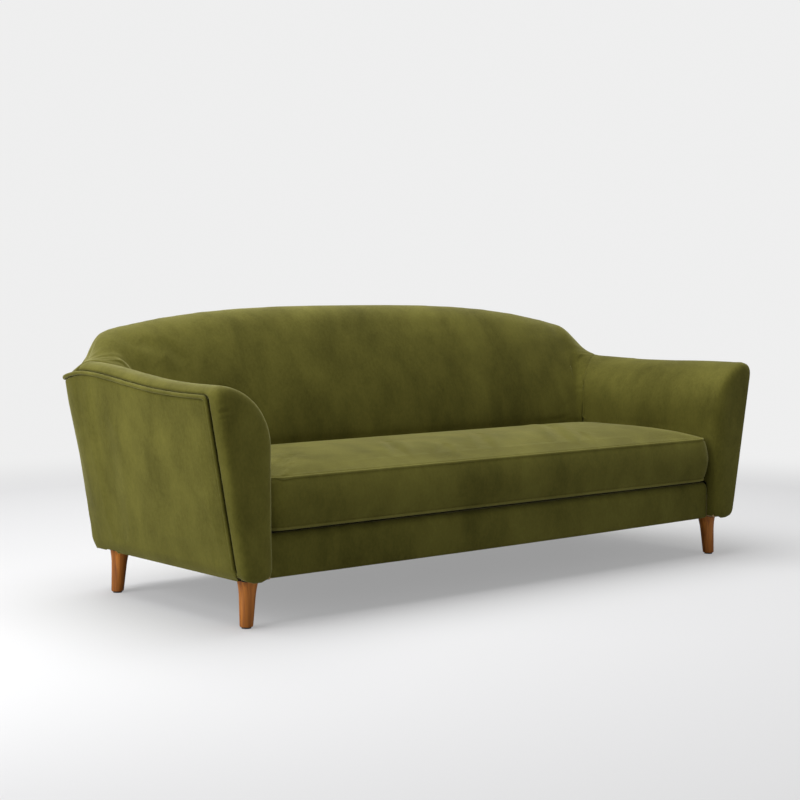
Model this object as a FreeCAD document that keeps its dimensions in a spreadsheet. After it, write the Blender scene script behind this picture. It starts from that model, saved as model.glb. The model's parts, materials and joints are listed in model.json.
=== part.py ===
import FreeCAD, Part
import math
import os
import Sketcher
from FreeCAD import Placement, Rotation, Vector

# Three-seater sofa in millimetres. The front faces -Y, +X is right as seen from the front, +Z is up.
# The origin is on the floor, in the middle of the width and of the depth.

doc = FreeCAD.newDocument("Sofa")
sheet = doc.addObject("Spreadsheet::Sheet", "Sizes")

SIZES = [
    ("seat_width", 1790, "clear width between the arms"),
    ("underside", 130, "floor to the underside of the body"),
    ("dome", 20, "how far the arm fronts swell forward"),
    ("dome_inset", 22, "outline of the arm front, drawn in at its foremost face"),
    ("dome_inner_inset", 36, "the same along its inner edge"),
    ("arm_length", 600, "arm front to the line where the seat meets the back"),
    ("arm_foot", 95, "arm thickness at the underside"),
    ("arm_splay", 88, "how far the outer face of the arm leans out"),
    ("arm_height", 645, "floor to the crest of the arm"),
    ("arm_crest_reach", 150, "inner face of the arm out to its crest"),
    ("arm_rear_rise", 14, "rise of the arm's crest towards the back"),
    ("arm_rise_run", 350, "length of that rise"),
    ("arm_roll_height", 183, "height of the roll on the inner edge of the arm"),
    ("arm_welt_drop", 28, "crest of the arm down to its welt"),
    ("arm_foam", 38, "thickness of the arm pad"),
    ("arm_tail_drop", 11, "edge of the arm pad folded in below the welt"),
    ("arm_tail_width", 33, "width of that fold"),
    ("lining_swell", 2, "swell of the hidden side of a pad"),
    ("arm_foot_rounding", 32, "rounded lower corners of the arm front"),
    ("cheek_thickness", 5, "cover of the arm front turned back to the apron"),
    ("back_foot", 215, "seat line to the rear face at the underside"),
    ("rear_lean", 30, "how far the rear face leans back"),
    ("back_height", 840, "floor to the top of the arch"),
    ("back_lean", 112, "how far the inside back leans back"),
    ("back_roll_height", 60, "height of the rounded top of the back"),
    ("back_roll_width", 93, "depth of the rounded top of the back"),
    ("back_welt_drop", 34, "crest of the back down to its welt"),
    ("shoulder_shelf", 36, "further reach of the welt where the shoulder is hollow outside"),
    ("corner_drop", 1.7, "further fall of the welt for each millimetre that it lies further out"),
    ("arm_belly", 0.2, "swell of the inside arm below its roll"),
    ("back_tail_drop", 5, "edge of the back pad folded in below the welt"),
    ("back_lining_drop", 30, "roll of the back down to where its hidden side bends"),
    ("back_belly", 12, "swell of the inside back"),
    ("seat_rise", 180, "deck up to the line where the seat meets the back"),
    ("arch_fall", 63, "fall of the arch where the crest turns the corner"),
    ("crest_corner", 150, "plan radius of the crest at the corner"),
    ("welt_corner", 95, "plan radius of the welt at the corner"),
    ("foot_corner", 65, "plan radius of the underside at the corner"),
    ("shoulder_start", 60, "corner start to the start of the shoulder"),
    ("shoulder_run", 175, "length of the shoulder along the crest"),
    ("seam_angle", 30, "plan angle of the seam between arm and back"),
    ("inner_corner", 18, "plan radius of the inside corner between arm and back"),
    ("panel_thickness", 12, "outer arm and back panels"),
    ("panel_roll", 32, "height of the rolled lower edge of an outer panel"),
    ("front_border", 28, "depth of the arm front's border beside an outer panel"),
    ("welt_gap", 3, "groove that holds the welt"),
    ("cushion_end_gap", 3, "cushion to each arm"),
    ("cushion_rear_gap", 4, "cushion to the back"),
    ("cushion_setback", 7.5, "arm front to cushion front"),
    ("boxing_height", 148, "height of the cushion's boxing"),
    ("cushion_crown", 37, "rise of the cushion above its boxing"),
    ("cushion_corner", 42, "plan radius of the cushion corners"),
    ("cushion_draw", 6, "how far the cushion sides draw in between corners"),
    ("cover_thickness", 2.5, "cushion cover"),
    ("clearance", 0.3, "between soft pieces and what they rest on"),
    ("apron_setback", 22, "arm front to the ends of the apron"),
    ("apron_thickness", 20, "apron at its ends"),
    ("apron_bow", 10, "bow of the apron in plan"),
    ("apron_height", 116, "apron from the underside up"),
    ("apron_rounding", 9, "rounded edges of the apron"),
    ("hem", 3, "cover hem below the rails"),
    ("rail_thickness", 28, "base frame rails"),
    ("rail_height", 102, "base frame rails"),
    ("cross_rail_height", 70, "cross rails of the base frame"),
    ("cross_rail_spacing", 600, "between the centres of the cross rails"),
    ("rear_gap", 2.5, "base frame to the outside back panel"),
    ("block_width", 76, "leg blocks, across"),
    ("block_length", 86, "leg blocks, front to back"),
    ("block_height", 60, "leg blocks"),
    ("former_thickness", 18, "shaped boards of the arm frames"),
    ("arm_rail_thickness", 28, "base rail of the arm frames"),
    ("arm_rail_offset", 36, "inner arm face to the base rail"),
    ("top_rail_width", 40, "top rail of the arm frames"),
    ("top_rail_height", 35, "top rail of the arm frames"),
    ("top_rail_shift", 6, "top rail out from under the crest"),
    ("top_rail_drop", 57, "crest of the arm down to its top rail"),
    ("tack_rail_width", 20, "tack rail of the arm frames"),
    ("tack_rail_height", 40, "tack rail of the arm frames"),
    ("back_frame_thickness", 26, "boards of the back frame"),
    ("post_width", 30, "posts and uprights of the back frame"),
    ("arch_rail_depth", 140, "arched top rail of the back frame at its middle"),
    ("arch_drop", 10, "welt of the back down to the arched top rail"),
    ("lower_rail_height", 60, "lower rail of the back frame"),
    ("upright_spacing", 640, "between the centres of the back uprights"),
    ("webbing_thickness", 2, "webbing straps"),
    ("webbing_width", 60, "webbing straps"),
    ("seat_strap_count", 14, "straps from front to back"),
    ("cross_strap_count", 4, "straps from side to side"),
    ("back_strap_count", 4, "straps across the back frame"),
    ("strap_hold", 6, "straps on top of the rear rail"),
    ("platform_thickness", 11, "felt pad over the webbing"),
    ("dust_cover_thickness", 1.5, "dust cover"),
    ("dust_cover_gap", 2, "dust cover to the panels and leg plates"),
    ("leg_foot_radius", 17.5, "leg at the floor"),
    ("leg_neck_radius", 22, "leg below its flare"),
    ("leg_neck_height", 86, "floor to the start of the flare"),
    ("leg_top_radius", 31, "leg at the top of its turning"),
    ("turning_spare", 6, "length turned off at each end when a leg is cut level"),
    ("leg_splay_across", 8, "outward lean of a leg, sideways"),
    ("leg_splay_along", 4, "outward lean of a leg, front to back"),
    ("front_leg_setback", 56, "arm front to the top of a front leg"),
    ("rear_leg_setback", 111, "seat line to the top of a rear leg"),
    ("plate_side", 54, "leg plates"),
    ("plate_thickness", 2.5, "leg plates"),
    ("bolt_radius", 4, "hanger bolts"),
    ("bolt_in_leg", 28, "hanger bolt inside the leg"),
    ("bolt_in_block", 30, "hanger bolt inside the leg block"),
    ("glide_radius", 13, "glides"),
    ("glide_height", 4, "glides"),
]

for row, (alias, number, note) in enumerate(SIZES, start=1):
    sheet.set(f"A{row}", alias)
    sheet.set(f"B{row}", str(number))
    sheet.set(f"C{row}", note)
    sheet.setAlias(f"B{row}", alias)
doc.recompute()

# Lines and levels that several pieces share, as expressions on the sheet
ARM_FACE = "(Sizes.seat_width / 2)"
DEPTH = "(Sizes.dome + Sizes.arm_length + Sizes.back_foot + Sizes.rear_lean)"
ARM_FRONT = f"(Sizes.dome - {DEPTH} / 2)"
BACK_LINE = f"({ARM_FRONT} + Sizes.arm_length)"
TURN_X = f"({ARM_FACE} - Sizes.inner_corner)"
TURN_Y = f"({BACK_LINE} - Sizes.inner_corner)"
REAR_FOOT = f"({BACK_LINE} + Sizes.back_foot)"
RAIL_BOTTOM = "(Sizes.underside + Sizes.hem)"
RAIL_TOP = f"({RAIL_BOTTOM} + Sizes.rail_height)"
CROSS_STRAP_BOTTOM = f"({RAIL_TOP} + Sizes.webbing_thickness)"
PLATFORM_BOTTOM = f"({CROSS_STRAP_BOTTOM} + Sizes.webbing_thickness)"
DECK = f"({PLATFORM_BOTTOM} + Sizes.platform_thickness)"
APRON_ENDS = f"({ARM_FRONT} + Sizes.apron_setback)"
APRON_BACK = f"({APRON_ENDS} + Sizes.apron_thickness)"
CHEEK_BACK = f"({APRON_ENDS} + Sizes.apron_thickness / 2)"
REBATE_WIDTH = "(Sizes.cheek_thickness + Sizes.clearance)"
FRONT_RAIL_BACK = f"({APRON_BACK} + Sizes.rail_thickness)"
REAR_RAIL_BACK = f"({REAR_FOOT} - Sizes.panel_thickness - Sizes.rear_gap)"
REAR_RAIL_FRONT = f"({REAR_RAIL_BACK} - Sizes.rail_thickness)"
BLOCK_TOP = f"({RAIL_BOTTOM} + Sizes.block_height)"
BLOCK_MIDDLE = f"({ARM_FACE} + Sizes.block_width / 2)"
LEG_TOP = f"({RAIL_BOTTOM} - Sizes.plate_thickness)"
FRONT_LEG = f"({ARM_FRONT} + Sizes.front_leg_setback)"
REAR_LEG = f"({BACK_LINE} + Sizes.rear_leg_setback)"
REAR_BLOCK_FRONT = f"({REAR_LEG} - Sizes.block_length / 2)"
FORMER_BACK = f"({ARM_FRONT} + Sizes.former_thickness)"
REAR_FORMER_FRONT = f"({BACK_LINE} - Sizes.former_thickness)"
BACK_WELT = "(Sizes.back_height - Sizes.back_welt_drop)"
SEAT_REAR = f"({REAR_RAIL_FRONT} + Sizes.strap_hold)"
REAR_SLOPE = f"(Sizes.rear_lean / ({BACK_WELT} - Sizes.underside))"

SQUARE = math.pi / 2
SIDES = {"left": -1, "right": 1}
ARM_STEPS = 4
ARM_TURN_STEPS = 5
BACK_STEPS = 6
SHOULDER_STEPS = 10
PANEL_STEPS = 14
BOXING_LEVELS = [(0, 12, -1), (0.05, 3, -0.5), (0.5, -1.5, 0), (0.95, 3, 0.5), (1, 10, 0.8)]
ROUNDING_SHARE = 0.4
SWELL_STEPS = 4
SWELL_TURN = math.radians(80)
HOLLOW_PLACE = 0.36
LINING_OUT = 0.31
LINING_UP = 0.71
CORNER_TIGHTENING = 0.125
FRONT_DRAW = 0.33
CROWN_STEPS = 4
CROWN_END = 0.8
CROWN_POWER = 3
ENDS = {"front": FRONT_LEG, "rear": REAR_LEG}

pieces = []


def value(expression):
    """The number that an expression on the sheet stands for."""
    return float(sheet.evalExpression(expression))


def size(alias):
    """The number in one cell of the sheet."""
    return value(f"Sizes.{alias}")


def keep(label, piece):
    """Name a finished sub-part and list it for writing."""
    piece.Label = label
    pieces.append(piece)
    return piece


def solid_piece(label, shape):
    """A sub-part whose shape is made directly from the sheet's sizes."""
    piece = doc.addObject("Part::Feature", label)
    piece.Shape = shape
    piece.Placement = Placement()
    return keep(label, piece)


def timber(name, across, along, up, corner):
    """A box whose three sizes and lowest corner are expressions."""
    box = doc.addObject("Part::Box", name)
    for prop, expression in zip(("Length", "Width", "Height"), (across, along, up)):
        box.setExpression(prop, expression)
    for axis, expression in zip("xyz", corner):
        box.setExpression(f"Placement.Base.{axis}", expression)
    return box


def side_corner(side, near, width):
    """Lowest X of a piece that starts at near on the right, or its mirror image on the left."""
    if side > 0:
        return near
    return f"-({near}) - ({width})"


def group(label, members):
    """Identical pieces that share one node."""
    compound = doc.addObject("Part::Compound", label)
    compound.Links = members
    return keep(label, compound)


def origin_plane(body, role):
    """One of a body's own origin planes."""
    return next(item for item in body.Origin.OriginFeatures if item.Role == role)


def profile_sketch(body, role, corners, arc_radii=None, hollow=True):
    """A closed sketch through corners given as expressions, with some edges bent to arcs.

    arc_radii maps the number of an edge to the expression of its radius; hollow arcs curve
    towards the axis of the sketch, the others away from it.
    """
    arc_radii = arc_radii or {}
    sketch = body.newObject("Sketcher::SketchObject", body.Name + "_profile")
    sketch.AttachmentSupport = [(origin_plane(body, role), "")]
    sketch.MapMode = "FlatFace"
    points = [Vector(value(x), value(y), 0) for x, y in corners]
    for index, start in enumerate(points):
        end = points[(index + 1) % len(points)]
        if index in arc_radii:
            radius = value(arc_radii[index])
            chord = end - start
            sagitta = radius - math.sqrt(radius ** 2 - chord.Length ** 2 / 4)
            normal = Vector(-chord.y, chord.x, 0).normalize()
            middle = (start + end) * 0.5 + normal * (sagitta if hollow else -sagitta)
            sketch.addGeometry(Part.Arc(start, middle, end), False)
        else:
            sketch.addGeometry(Part.LineSegment(start, end), False)
    pin_profile(sketch, corners, arc_radii)
    return sketch


def edge_ends(sketch, index):
    """Which ends of an edge are its first and last point along the profile."""
    previous = sketch.Geometry[index - 1]
    start = sketch.getPoint(index, 1)
    touches = min((start - previous.StartPoint).Length, (start - previous.EndPoint).Length) < 1e-6
    return (1, 2) if touches else (2, 1)


def pin_profile(sketch, corners, arc_radii):
    """Tie every corner and radius of a profile to the sheet."""
    count = len(corners)
    ends = [edge_ends(sketch, index) for index in range(count)]
    for index in range(count):
        following = (index + 1) % count
        sketch.addConstraint(Sketcher.Constraint(
            "Coincident", index, ends[index][1], following, ends[following][0]))
    for index, corner in enumerate(corners):
        for kind, axis, expression in zip(("DistanceX", "DistanceY"), (-2, -1), corner):
            point = ends[index][0]
            if expression == "0":
                sketch.addConstraint(Sketcher.Constraint("PointOnObject", index, point, axis))
                continue
            number = sketch.addConstraint(Sketcher.Constraint(
                kind, -1, 1, index, point, value(expression)))
            sketch.setExpression(f"Constraints[{number}]", expression)
    for index, expression in arc_radii.items():
        number = sketch.addConstraint(Sketcher.Constraint("Radius", index, value(expression)))
        sketch.setExpression(f"Constraints[{number}]", expression)


def board(name, role, corners, thickness, arc_radii=None, hollow=True):
    """A flat board: a profile padded to its thickness."""
    body = doc.addObject("PartDesign::Body", name)
    sketch = profile_sketch(body, role, corners, arc_radii, hollow)
    pad = body.newObject("PartDesign::Pad", name + "_pad")
    pad.Profile = sketch
    pad.setExpression("Length", thickness)
    return body


# Padded section of the arms and back

def blend(first, second, share):
    return first + (second - first) * share


def corner_reach(across, back, radius, angle):
    """Distance along a plan ray from the inner corner to a rounded outer corner."""
    cosine = math.cos(angle)
    sine = math.sin(angle)
    if sine * across <= (back - radius) * cosine:
        return across / cosine
    if cosine * back <= (across - radius) * sine:
        return back / sine
    centre_x = across - radius
    centre_y = back - radius
    along = centre_x * cosine + centre_y * sine
    return along + math.sqrt(along ** 2 - centre_x ** 2 - centre_y ** 2 + radius ** 2)


def crest_run(x, y):
    """Length of the crest line from the middle of the back to a plan point on it."""
    radius = size("crest_corner")
    corner_x = value(ARM_FACE) + size("arm_crest_reach") - radius
    corner_y = value(BACK_LINE) + size("back_lean") + size("back_roll_width") - radius
    if x <= corner_x:
        return x
    if y <= corner_y:
        return corner_x + radius * math.pi / 2 + corner_y - y
    return corner_x + radius * math.atan2(x - corner_x, y - corner_y)


def eased(step):
    """A step from 0 to 1 that starts and ends level."""
    step = min(max(step, 0), 1)
    return step * step * (3 - 2 * step)


def crest_level(run):
    """Height of the crest, how much of the back it has (0 arm, 1 back), and the arm's height."""
    straight = value(ARM_FACE) + size("arm_crest_reach") - size("crest_corner")
    arch = size("back_height") - size("arch_fall") * (run / straight) ** 3
    shoulder = straight + size("shoulder_start")
    shoulder_end = shoulder + size("shoulder_run")
    share = 1 - eased((run - shoulder) / size("shoulder_run"))
    rise = 1 - eased((run - shoulder_end) / size("arm_rise_run"))
    arm = size("arm_height") + size("arm_rear_rise") * rise
    return blend(arm, arch, share), share, arm


def bulged(start, end, outward):
    """A point off the middle of a chord, to its left when outward is positive."""
    chord = (end[0] - start[0], end[1] - start[1])
    length = math.hypot(*chord)
    return ((start[0] + end[0]) / 2 - chord[1] / length * outward,
            (start[1] + end[1]) / 2 + chord[0] / length * outward)


def quarter_point(flat_end, steep_end):
    """The middle of a quarter ellipse that is level at one end and upright at the other."""
    half = math.sqrt(0.5)
    return (flat_end[0] + (steep_end[0] - flat_end[0]) * half,
            steep_end[1] + (flat_end[1] - steep_end[1]) * half)


def level_arc_point(level_end, other_end):
    """The middle of an arc that is level at one end."""
    across = level_end[0] - other_end[0]
    rise = level_end[1] - other_end[1]
    radius = (across ** 2 + rise ** 2) / (2 * rise)
    half_turn = math.asin(min(across / radius, 1)) / 2
    return (level_end[0] - radius * math.sin(half_turn),
            level_end[1] - radius * (1 - math.cos(half_turn)))


def section(x, y, angle):
    """Outline of the upholstery on an upright plane through the plan point (x, y).

    Every point is (distance out from that point, height), and the point lies the radius of the
    inside corner in front of the padding. An angle of 0 cuts across an arm and 90 degrees cuts
    across the back.
    """
    inner = size("inner_corner")
    crest_reach = corner_reach(
        inner + size("arm_crest_reach"), inner + size("back_lean") + size("back_roll_width"),
        size("crest_corner"), angle)
    run = crest_run(x + crest_reach * math.cos(angle), y + crest_reach * math.sin(angle))
    crest_height, share, arm_height = crest_level(run)
    crest = (crest_reach, crest_height)
    drop = blend(size("arm_welt_drop"), size("back_welt_drop"), share)
    rear_reach = size("back_foot") + value(REAR_SLOPE) * (crest_height - drop - size("underside"))
    arm_reach = size("arm_foot") + size("arm_splay")
    welt_reach = corner_reach(inner + arm_reach, inner + rear_reach, size("welt_corner"), angle)
    arm_shelf = arm_reach - size("arm_crest_reach")
    back_shelf = rear_reach - size("back_lean") - size("back_roll_width")
    shelf = welt_reach - crest_reach - blend(arm_shelf, back_shelf, share)
    welt_height = max(crest_height - drop - size("corner_drop") * max(shelf, 0),
                      arm_height - size("arm_welt_drop"))
    welt = (welt_reach, welt_height)
    hollow = (blend(crest_reach, welt_reach, HOLLOW_PLACE),
              blend(welt_height, crest_height, HOLLOW_PLACE))
    hollow_share = eased(shelf / size("shoulder_shelf"))
    edge_middle = tuple(blend(a, b, hollow_share)
                        for a, b in zip(quarter_point(crest, welt), hollow))
    foot_reach = corner_reach(
        inner + size("arm_foot"), inner + size("back_foot"), size("foot_corner"), angle)
    roll_height = blend(size("arm_roll_height"), size("back_roll_height"), share)
    roll = (inner + size("back_lean") * share, crest_height - roll_height)
    arm_middle = quarter_point(crest, roll)
    back_middle = level_arc_point(crest, roll)
    roll_middle = tuple(blend(a, b, share) for a, b in zip(arm_middle, back_middle))
    arm_bend = size("arm_height") - size("arm_roll_height") - size("arm_foam")
    bend = (inner, blend(arm_bend, value(DECK) + size("seat_rise"), share))
    return {
        "share": share,
        "deck": (inner, value(DECK) + size("clearance")),
        "bend": bend,
        "belly": bulged(bend, roll, blend(size("arm_belly"), size("back_belly"), share)),
        "roll": roll,
        "roll_middle": roll_middle,
        "crest": crest,
        "edge_middle": edge_middle,
        "welt": welt,
        "foot": (foot_reach, size("underside")),
    }


def frame_reach(height):
    """Section distance to the front of the webbing on the back frame, at a height."""
    return (size("inner_corner") + size("back_foot")
            - size("panel_thickness") - size("back_frame_thickness")
            - size("webbing_thickness") - 2 * size("clearance")
            + value(REAR_SLOPE) * (height - size("underside")))


def pad_lining(points):
    """Hidden side of a pad: its tail under the welt, its middle and its foot."""
    share = points["share"]
    foam = size("arm_foam")
    welt_reach, welt_height = points["welt"]
    roll_reach, roll_height = points["roll"]
    deck_height = points["deck"][1]
    tail_height = welt_height - blend(size("arm_tail_drop"), size("back_tail_drop"), share)
    arm_tail = welt_reach - size("arm_tail_width")
    tail = (blend(arm_tail, frame_reach(tail_height), share), tail_height)
    shoulder_height = min(roll_height, tail_height) - size("back_lining_drop") * share
    arm_shoulder = roll_reach + foam + size("lining_swell")
    shoulder = (blend(arm_shoulder, frame_reach(shoulder_height), share), shoulder_height)
    arm_middle = (blend(shoulder[0], tail[0], LINING_OUT), blend(shoulder[1], tail[1], LINING_UP))
    back_middle = bulged(shoulder, tail, size("lining_swell"))
    middle = tuple(blend(a, b, share) for a, b in zip(arm_middle, back_middle))
    hem_reach = blend(size("inner_corner") + foam, frame_reach(deck_height), share)
    return tail, middle, shoulder, (hem_reach, deck_height)


def stand(point, x, y, angle, side):
    """A section point as a point of the sofa, mirrored for the left side."""
    reach, height = point
    return Vector(side * (x + reach * math.cos(angle)), y + reach * math.sin(angle), height)


def line(start, end):
    return Part.LineSegment(start, end).toShape()


def arc(start, middle, end):
    return Part.Arc(start, middle, end).toShape()


def pad_wire(x, y, angle, side):
    """Closed section of an arm pad or of the back pad."""
    points = section(x, y, angle)
    tail, lining, shoulder, hem = (stand(p, x, y, angle, side) for p in pad_lining(points))
    at = {name: stand(point, x, y, angle, side)
          for name, point in points.items() if name != "share"}
    return Part.Wire([
        line(at["deck"], at["bend"]),
        arc(at["bend"], at["belly"], at["roll"]),
        arc(at["roll"], at["roll_middle"], at["crest"]),
        arc(at["crest"], at["edge_middle"], at["welt"]),
        line(at["welt"], tail),
        arc(tail, lining, shoulder),
        line(shoulder, hem),
        line(hem, at["deck"]),
    ])


def panel_wire(x, y, angle, side):
    """Closed section of an outer arm panel, from the underside up to the welt."""
    points = section(x, y, angle)
    thickness = size("panel_thickness")
    gap = size("welt_gap")
    foot_reach, foot_height = points["foot"]
    welt_reach, welt_height = points["welt"]
    roll = size("panel_roll")
    slope = (welt_reach - foot_reach) / (welt_height - foot_height)
    corners = [
        (foot_reach + slope * roll, foot_height + roll),
        (welt_reach, welt_height - gap),
        (welt_reach - thickness, welt_height - gap - thickness / 2),
        (foot_reach - thickness, foot_height),
    ]
    return Part.makePolygon([stand(c, x, y, angle, side) for c in corners + corners[:1]])


def turning_stations(first, last, steps):
    """Section places round the inside corner, between two plan angles."""
    return [(value(TURN_X), value(TURN_Y), blend(first, last, step / steps))
            for step in range(steps + 1)]


def loft(wires):
    """A closed solid through sections, straight from each section to the next."""
    return Part.makeLoft(wires, True, True)


def along_arm(wire_maker, setback, last_angle, steps, side):
    """A piece that runs straight along an arm and then turns the corner."""
    front = value(ARM_FRONT) + setback
    straight = [wire_maker(value(TURN_X), blend(front, value(TURN_Y), step / ARM_STEPS), 0.0, side)
                for step in range(ARM_STEPS + 1)]
    turning = [wire_maker(*station, side)
               for station in turning_stations(0.0, last_angle, steps)]
    return loft(straight).fuse(loft(turning))


def make_arm_pad(name, side):
    seam = math.radians(size("seam_angle"))
    solid_piece(f"{name}_arm_pad", along_arm(pad_wire, 0, seam, ARM_TURN_STEPS, side))


def make_outer_panel(name, side):
    solid_piece(f"{name}_outer_panel",
                along_arm(panel_wire, size("front_border"), SQUARE, PANEL_STEPS, side))


def make_back_pad():
    """The arched middle of the back and the two shoulders that turn from it to the arms."""
    half = value(TURN_X)
    spots = [half * step / BACK_STEPS for step in range(-BACK_STEPS, BACK_STEPS + 1)]
    middle = loft([pad_wire(abs(x), value(TURN_Y), SQUARE, 1 if x > 0 else -1) for x in spots])
    seam = math.radians(size("seam_angle"))
    shoulders = [loft([pad_wire(*station, side)
                       for station in turning_stations(seam, SQUARE, SHOULDER_STEPS)])
                 for side in SIDES.values()]
    solid_piece("back_pad", middle.multiFuse(shoulders))


def tongue_wire(y, inner_inset, inset, side):
    """Outline of an arm front, drawn in from its full size."""
    x = value(TURN_X)
    points = section(x, value(ARM_FRONT), 0.0)
    bottom = size("underside") + inset
    inner_foot = size("inner_corner") + inner_inset
    roll = (inner_foot, points["roll"][1])
    crest = (points["crest"][0], points["crest"][1] - inset)
    welt = (points["welt"][0] - inset, points["welt"][1] - inset)
    slope = size("arm_splay") / (points["welt"][1] - size("underside"))
    outer_foot = points["foot"][0] - inset
    rounding = min(size("arm_foot_rounding"), ROUNDING_SHARE * (outer_foot - inner_foot))
    outer_up = (outer_foot + slope * (rounding + inset), bottom + rounding)
    outer_in = (outer_foot - rounding, bottom)
    inner_in = (inner_foot + rounding, bottom)
    inner_up = (inner_foot, bottom + rounding)
    outer_corner = quarter_point(outer_in, outer_up)
    inner_corner = quarter_point(inner_in, inner_up)
    spots = [stand(p, x, y, 0.0, side) for p in (
        inner_up, roll, quarter_point(crest, roll), crest, quarter_point(crest, welt), welt,
        outer_up, outer_corner, outer_in, inner_in, inner_corner)]
    return Part.Wire([
        line(spots[0], spots[1]),
        arc(spots[1], spots[2], spots[3]),
        arc(spots[3], spots[4], spots[5]),
        line(spots[5], spots[6]),
        arc(spots[6], spots[7], spots[8]),
        line(spots[8], spots[9]),
        arc(spots[9], spots[10], spots[0]),
    ])


def make_arm_front(name, side):
    """The domed pad that closes the front of an arm.

    A cheek turns back from it to the apron, and a border turns back to the outer panel.
    """
    dome = size("dome")
    back = value(ARM_FRONT)
    wires = []
    for step in range(SWELL_STEPS + 1):
        turn = SWELL_TURN * step / SWELL_STEPS
        forward = math.sin(turn) / math.sin(SWELL_TURN)
        inward = (1 - math.cos(turn)) / (1 - math.cos(SWELL_TURN))
        wires.append(tongue_wire(back - dome * forward, size("dome_inner_inset") * inward,
                                 size("dome_inset") * inward, side))
    cheek_run = Vector(0, value(CHEEK_BACK) - back, 0)
    near = value(ARM_FACE)
    far = near + size("cheek_thickness")
    low = size("underside") + size("hem")
    high = value(DECK)
    corners = [Vector(side * x, back, z)
               for x, z in ((near, low), (far, low), (far, high), (near, high), (near, low))]
    cheek = Part.Face(Part.makePolygon(corners)).extrude(cheek_run)
    border_end = back + size("front_border") - size("clearance")
    border = loft([panel_wire(value(TURN_X), y, 0.0, side) for y in (back, border_end)])
    solid_piece(f"{name}_arm_front", loft(wires).multiFuse([cheek, border]))


def make_outside_back():
    """Flat leaning panel whose top follows the arch of the back."""
    half = value(TURN_X)
    thickness = size("panel_thickness")
    gap = size("welt_gap")
    shares = (-1, -0.77, -0.53, 0, 0.53, 0.77, 1)
    faces = []
    for inset, drop in ((0, gap), (thickness, gap + thickness / 2)):
        foot = value(REAR_FOOT) - inset
        top = []
        for share in shares:
            spot = section(abs(share) * half, value(TURN_Y), SQUARE)
            height = spot["welt"][1] - drop
            lean = value(REAR_SLOPE) * (height - size("underside"))
            top.append(Vector(share * half, foot + lean, height))
        left = Vector(-half, foot, size("underside"))
        right = Vector(half, foot, size("underside"))
        faces.append(Part.Wire([
            line(left, top[0]),
            arc(*top[0:3]),
            arc(*top[2:5]),
            arc(*top[4:7]),
            line(top[6], right),
            line(right, left),
        ]))
    solid_piece("outside_back_panel", loft(faces))


# Seat cushion

def cushion_wire(height, inset):
    """Rounded plan outline of the cushion whose sides draw in between the corners."""
    draw = size("cushion_draw")
    radius = size("cushion_corner") - inset * CORNER_TIGHTENING
    half = value(ARM_FACE) - size("cushion_end_gap") - inset
    front = value(ARM_FRONT) + size("cushion_setback") + inset
    rear = value(BACK_LINE) - size("cushion_rear_gap") - inset
    middle = (front + rear) / 2
    bevel = radius * (1 - math.sqrt(0.5))

    def spot(x, y):
        return Vector(x, y, height)

    corners = []
    for side_x, side_y in ((-1, -1), (1, -1), (1, 1), (-1, 1)):
        end_y = front if side_y < 0 else rear
        along = spot(side_x * (half - radius), end_y)
        around = spot(side_x * (half - bevel), end_y - side_y * bevel)
        across = spot(side_x * half, end_y - side_y * radius)
        corners.append((across, around, along) if side_x == side_y else (along, around, across))
    pulls = [spot(0, front + draw * FRONT_DRAW), spot(half - draw, middle),
             spot(0, rear - draw), spot(draw - half, middle)]
    edges = []
    for index, corner in enumerate(corners):
        following = corners[(index + 1) % 4]
        edges += [arc(*corner), arc(corner[2], pulls[index], following[0])]
    return Part.Wire(edges)


def cushion_levels():
    """Levels of the cushion: height above its base, inset, and upward part of the normal."""
    boxing = size("boxing_height")
    reach = (size("arm_length") - size("cushion_setback") - size("cushion_rear_gap")) / 2
    levels = [(boxing * share, inset, up) for share, inset, up in BOXING_LEVELS]
    for step in range(1, CROWN_STEPS + 1):
        inset = reach * CROWN_END * step / CROWN_STEPS
        rise = (1 - (1 - inset / reach) ** CROWN_POWER)
        levels.append((boxing + size("cushion_crown") * rise, BOXING_LEVELS[-1][1] + inset, 1))
    return levels


def cushion_solid(wall):
    """Crowned cushion form, drawn in by a wall thickness."""
    base = value(DECK) + size("clearance")
    return loft([
        cushion_wire(base + height - wall * up, inset + wall * math.sqrt(max(1 - up * up, 0)))
        for height, inset, up in cushion_levels()])


def make_cushion():
    wall = size("cover_thickness")
    cover = cushion_solid(0).cut(cushion_solid(wall))
    solid_piece("seat_cushion_cover", cover)
    solid_piece("seat_cushion_core", cushion_solid(wall + size("clearance")))


# Apron and base frame

def make_apron():
    """Padded cover of the front rail, bowed forward in plan, with rounded front edges."""
    half = f"({ARM_FACE} - Sizes.clearance)"
    bow_radius = f"(({half} ^ 2 + Sizes.apron_bow ^ 2) / (2 * Sizes.apron_bow))"
    corners = [("0", "Sizes.apron_bow"), (f"2 * {half}", "Sizes.apron_bow"),
               (f"2 * {half}", "Sizes.apron_bow + Sizes.apron_thickness"),
               ("0", "Sizes.apron_bow + Sizes.apron_thickness")]
    body = board("front_apron", "XY_Plane", corners, "Sizes.apron_height",
                 {0: bow_radius}, hollow=False)
    doc.recompute()
    pad = body.Tip
    front = [f"Edge{number}" for number, edge in enumerate(pad.Shape.Edges, start=1)
             if isinstance(edge.Curve, Part.Circle)]
    rounding = body.newObject("PartDesign::Fillet", "front_apron_rounding")
    rounding.Base = (pad, front)
    rounding.setExpression("Radius", "Sizes.apron_rounding")
    body.setExpression("Placement.Base.x", f"-{half}")
    body.setExpression("Placement.Base.y", f"{APRON_ENDS} - Sizes.apron_bow")
    body.setExpression("Placement.Base.z", "Sizes.underside")
    keep("front_apron", body)


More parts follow.
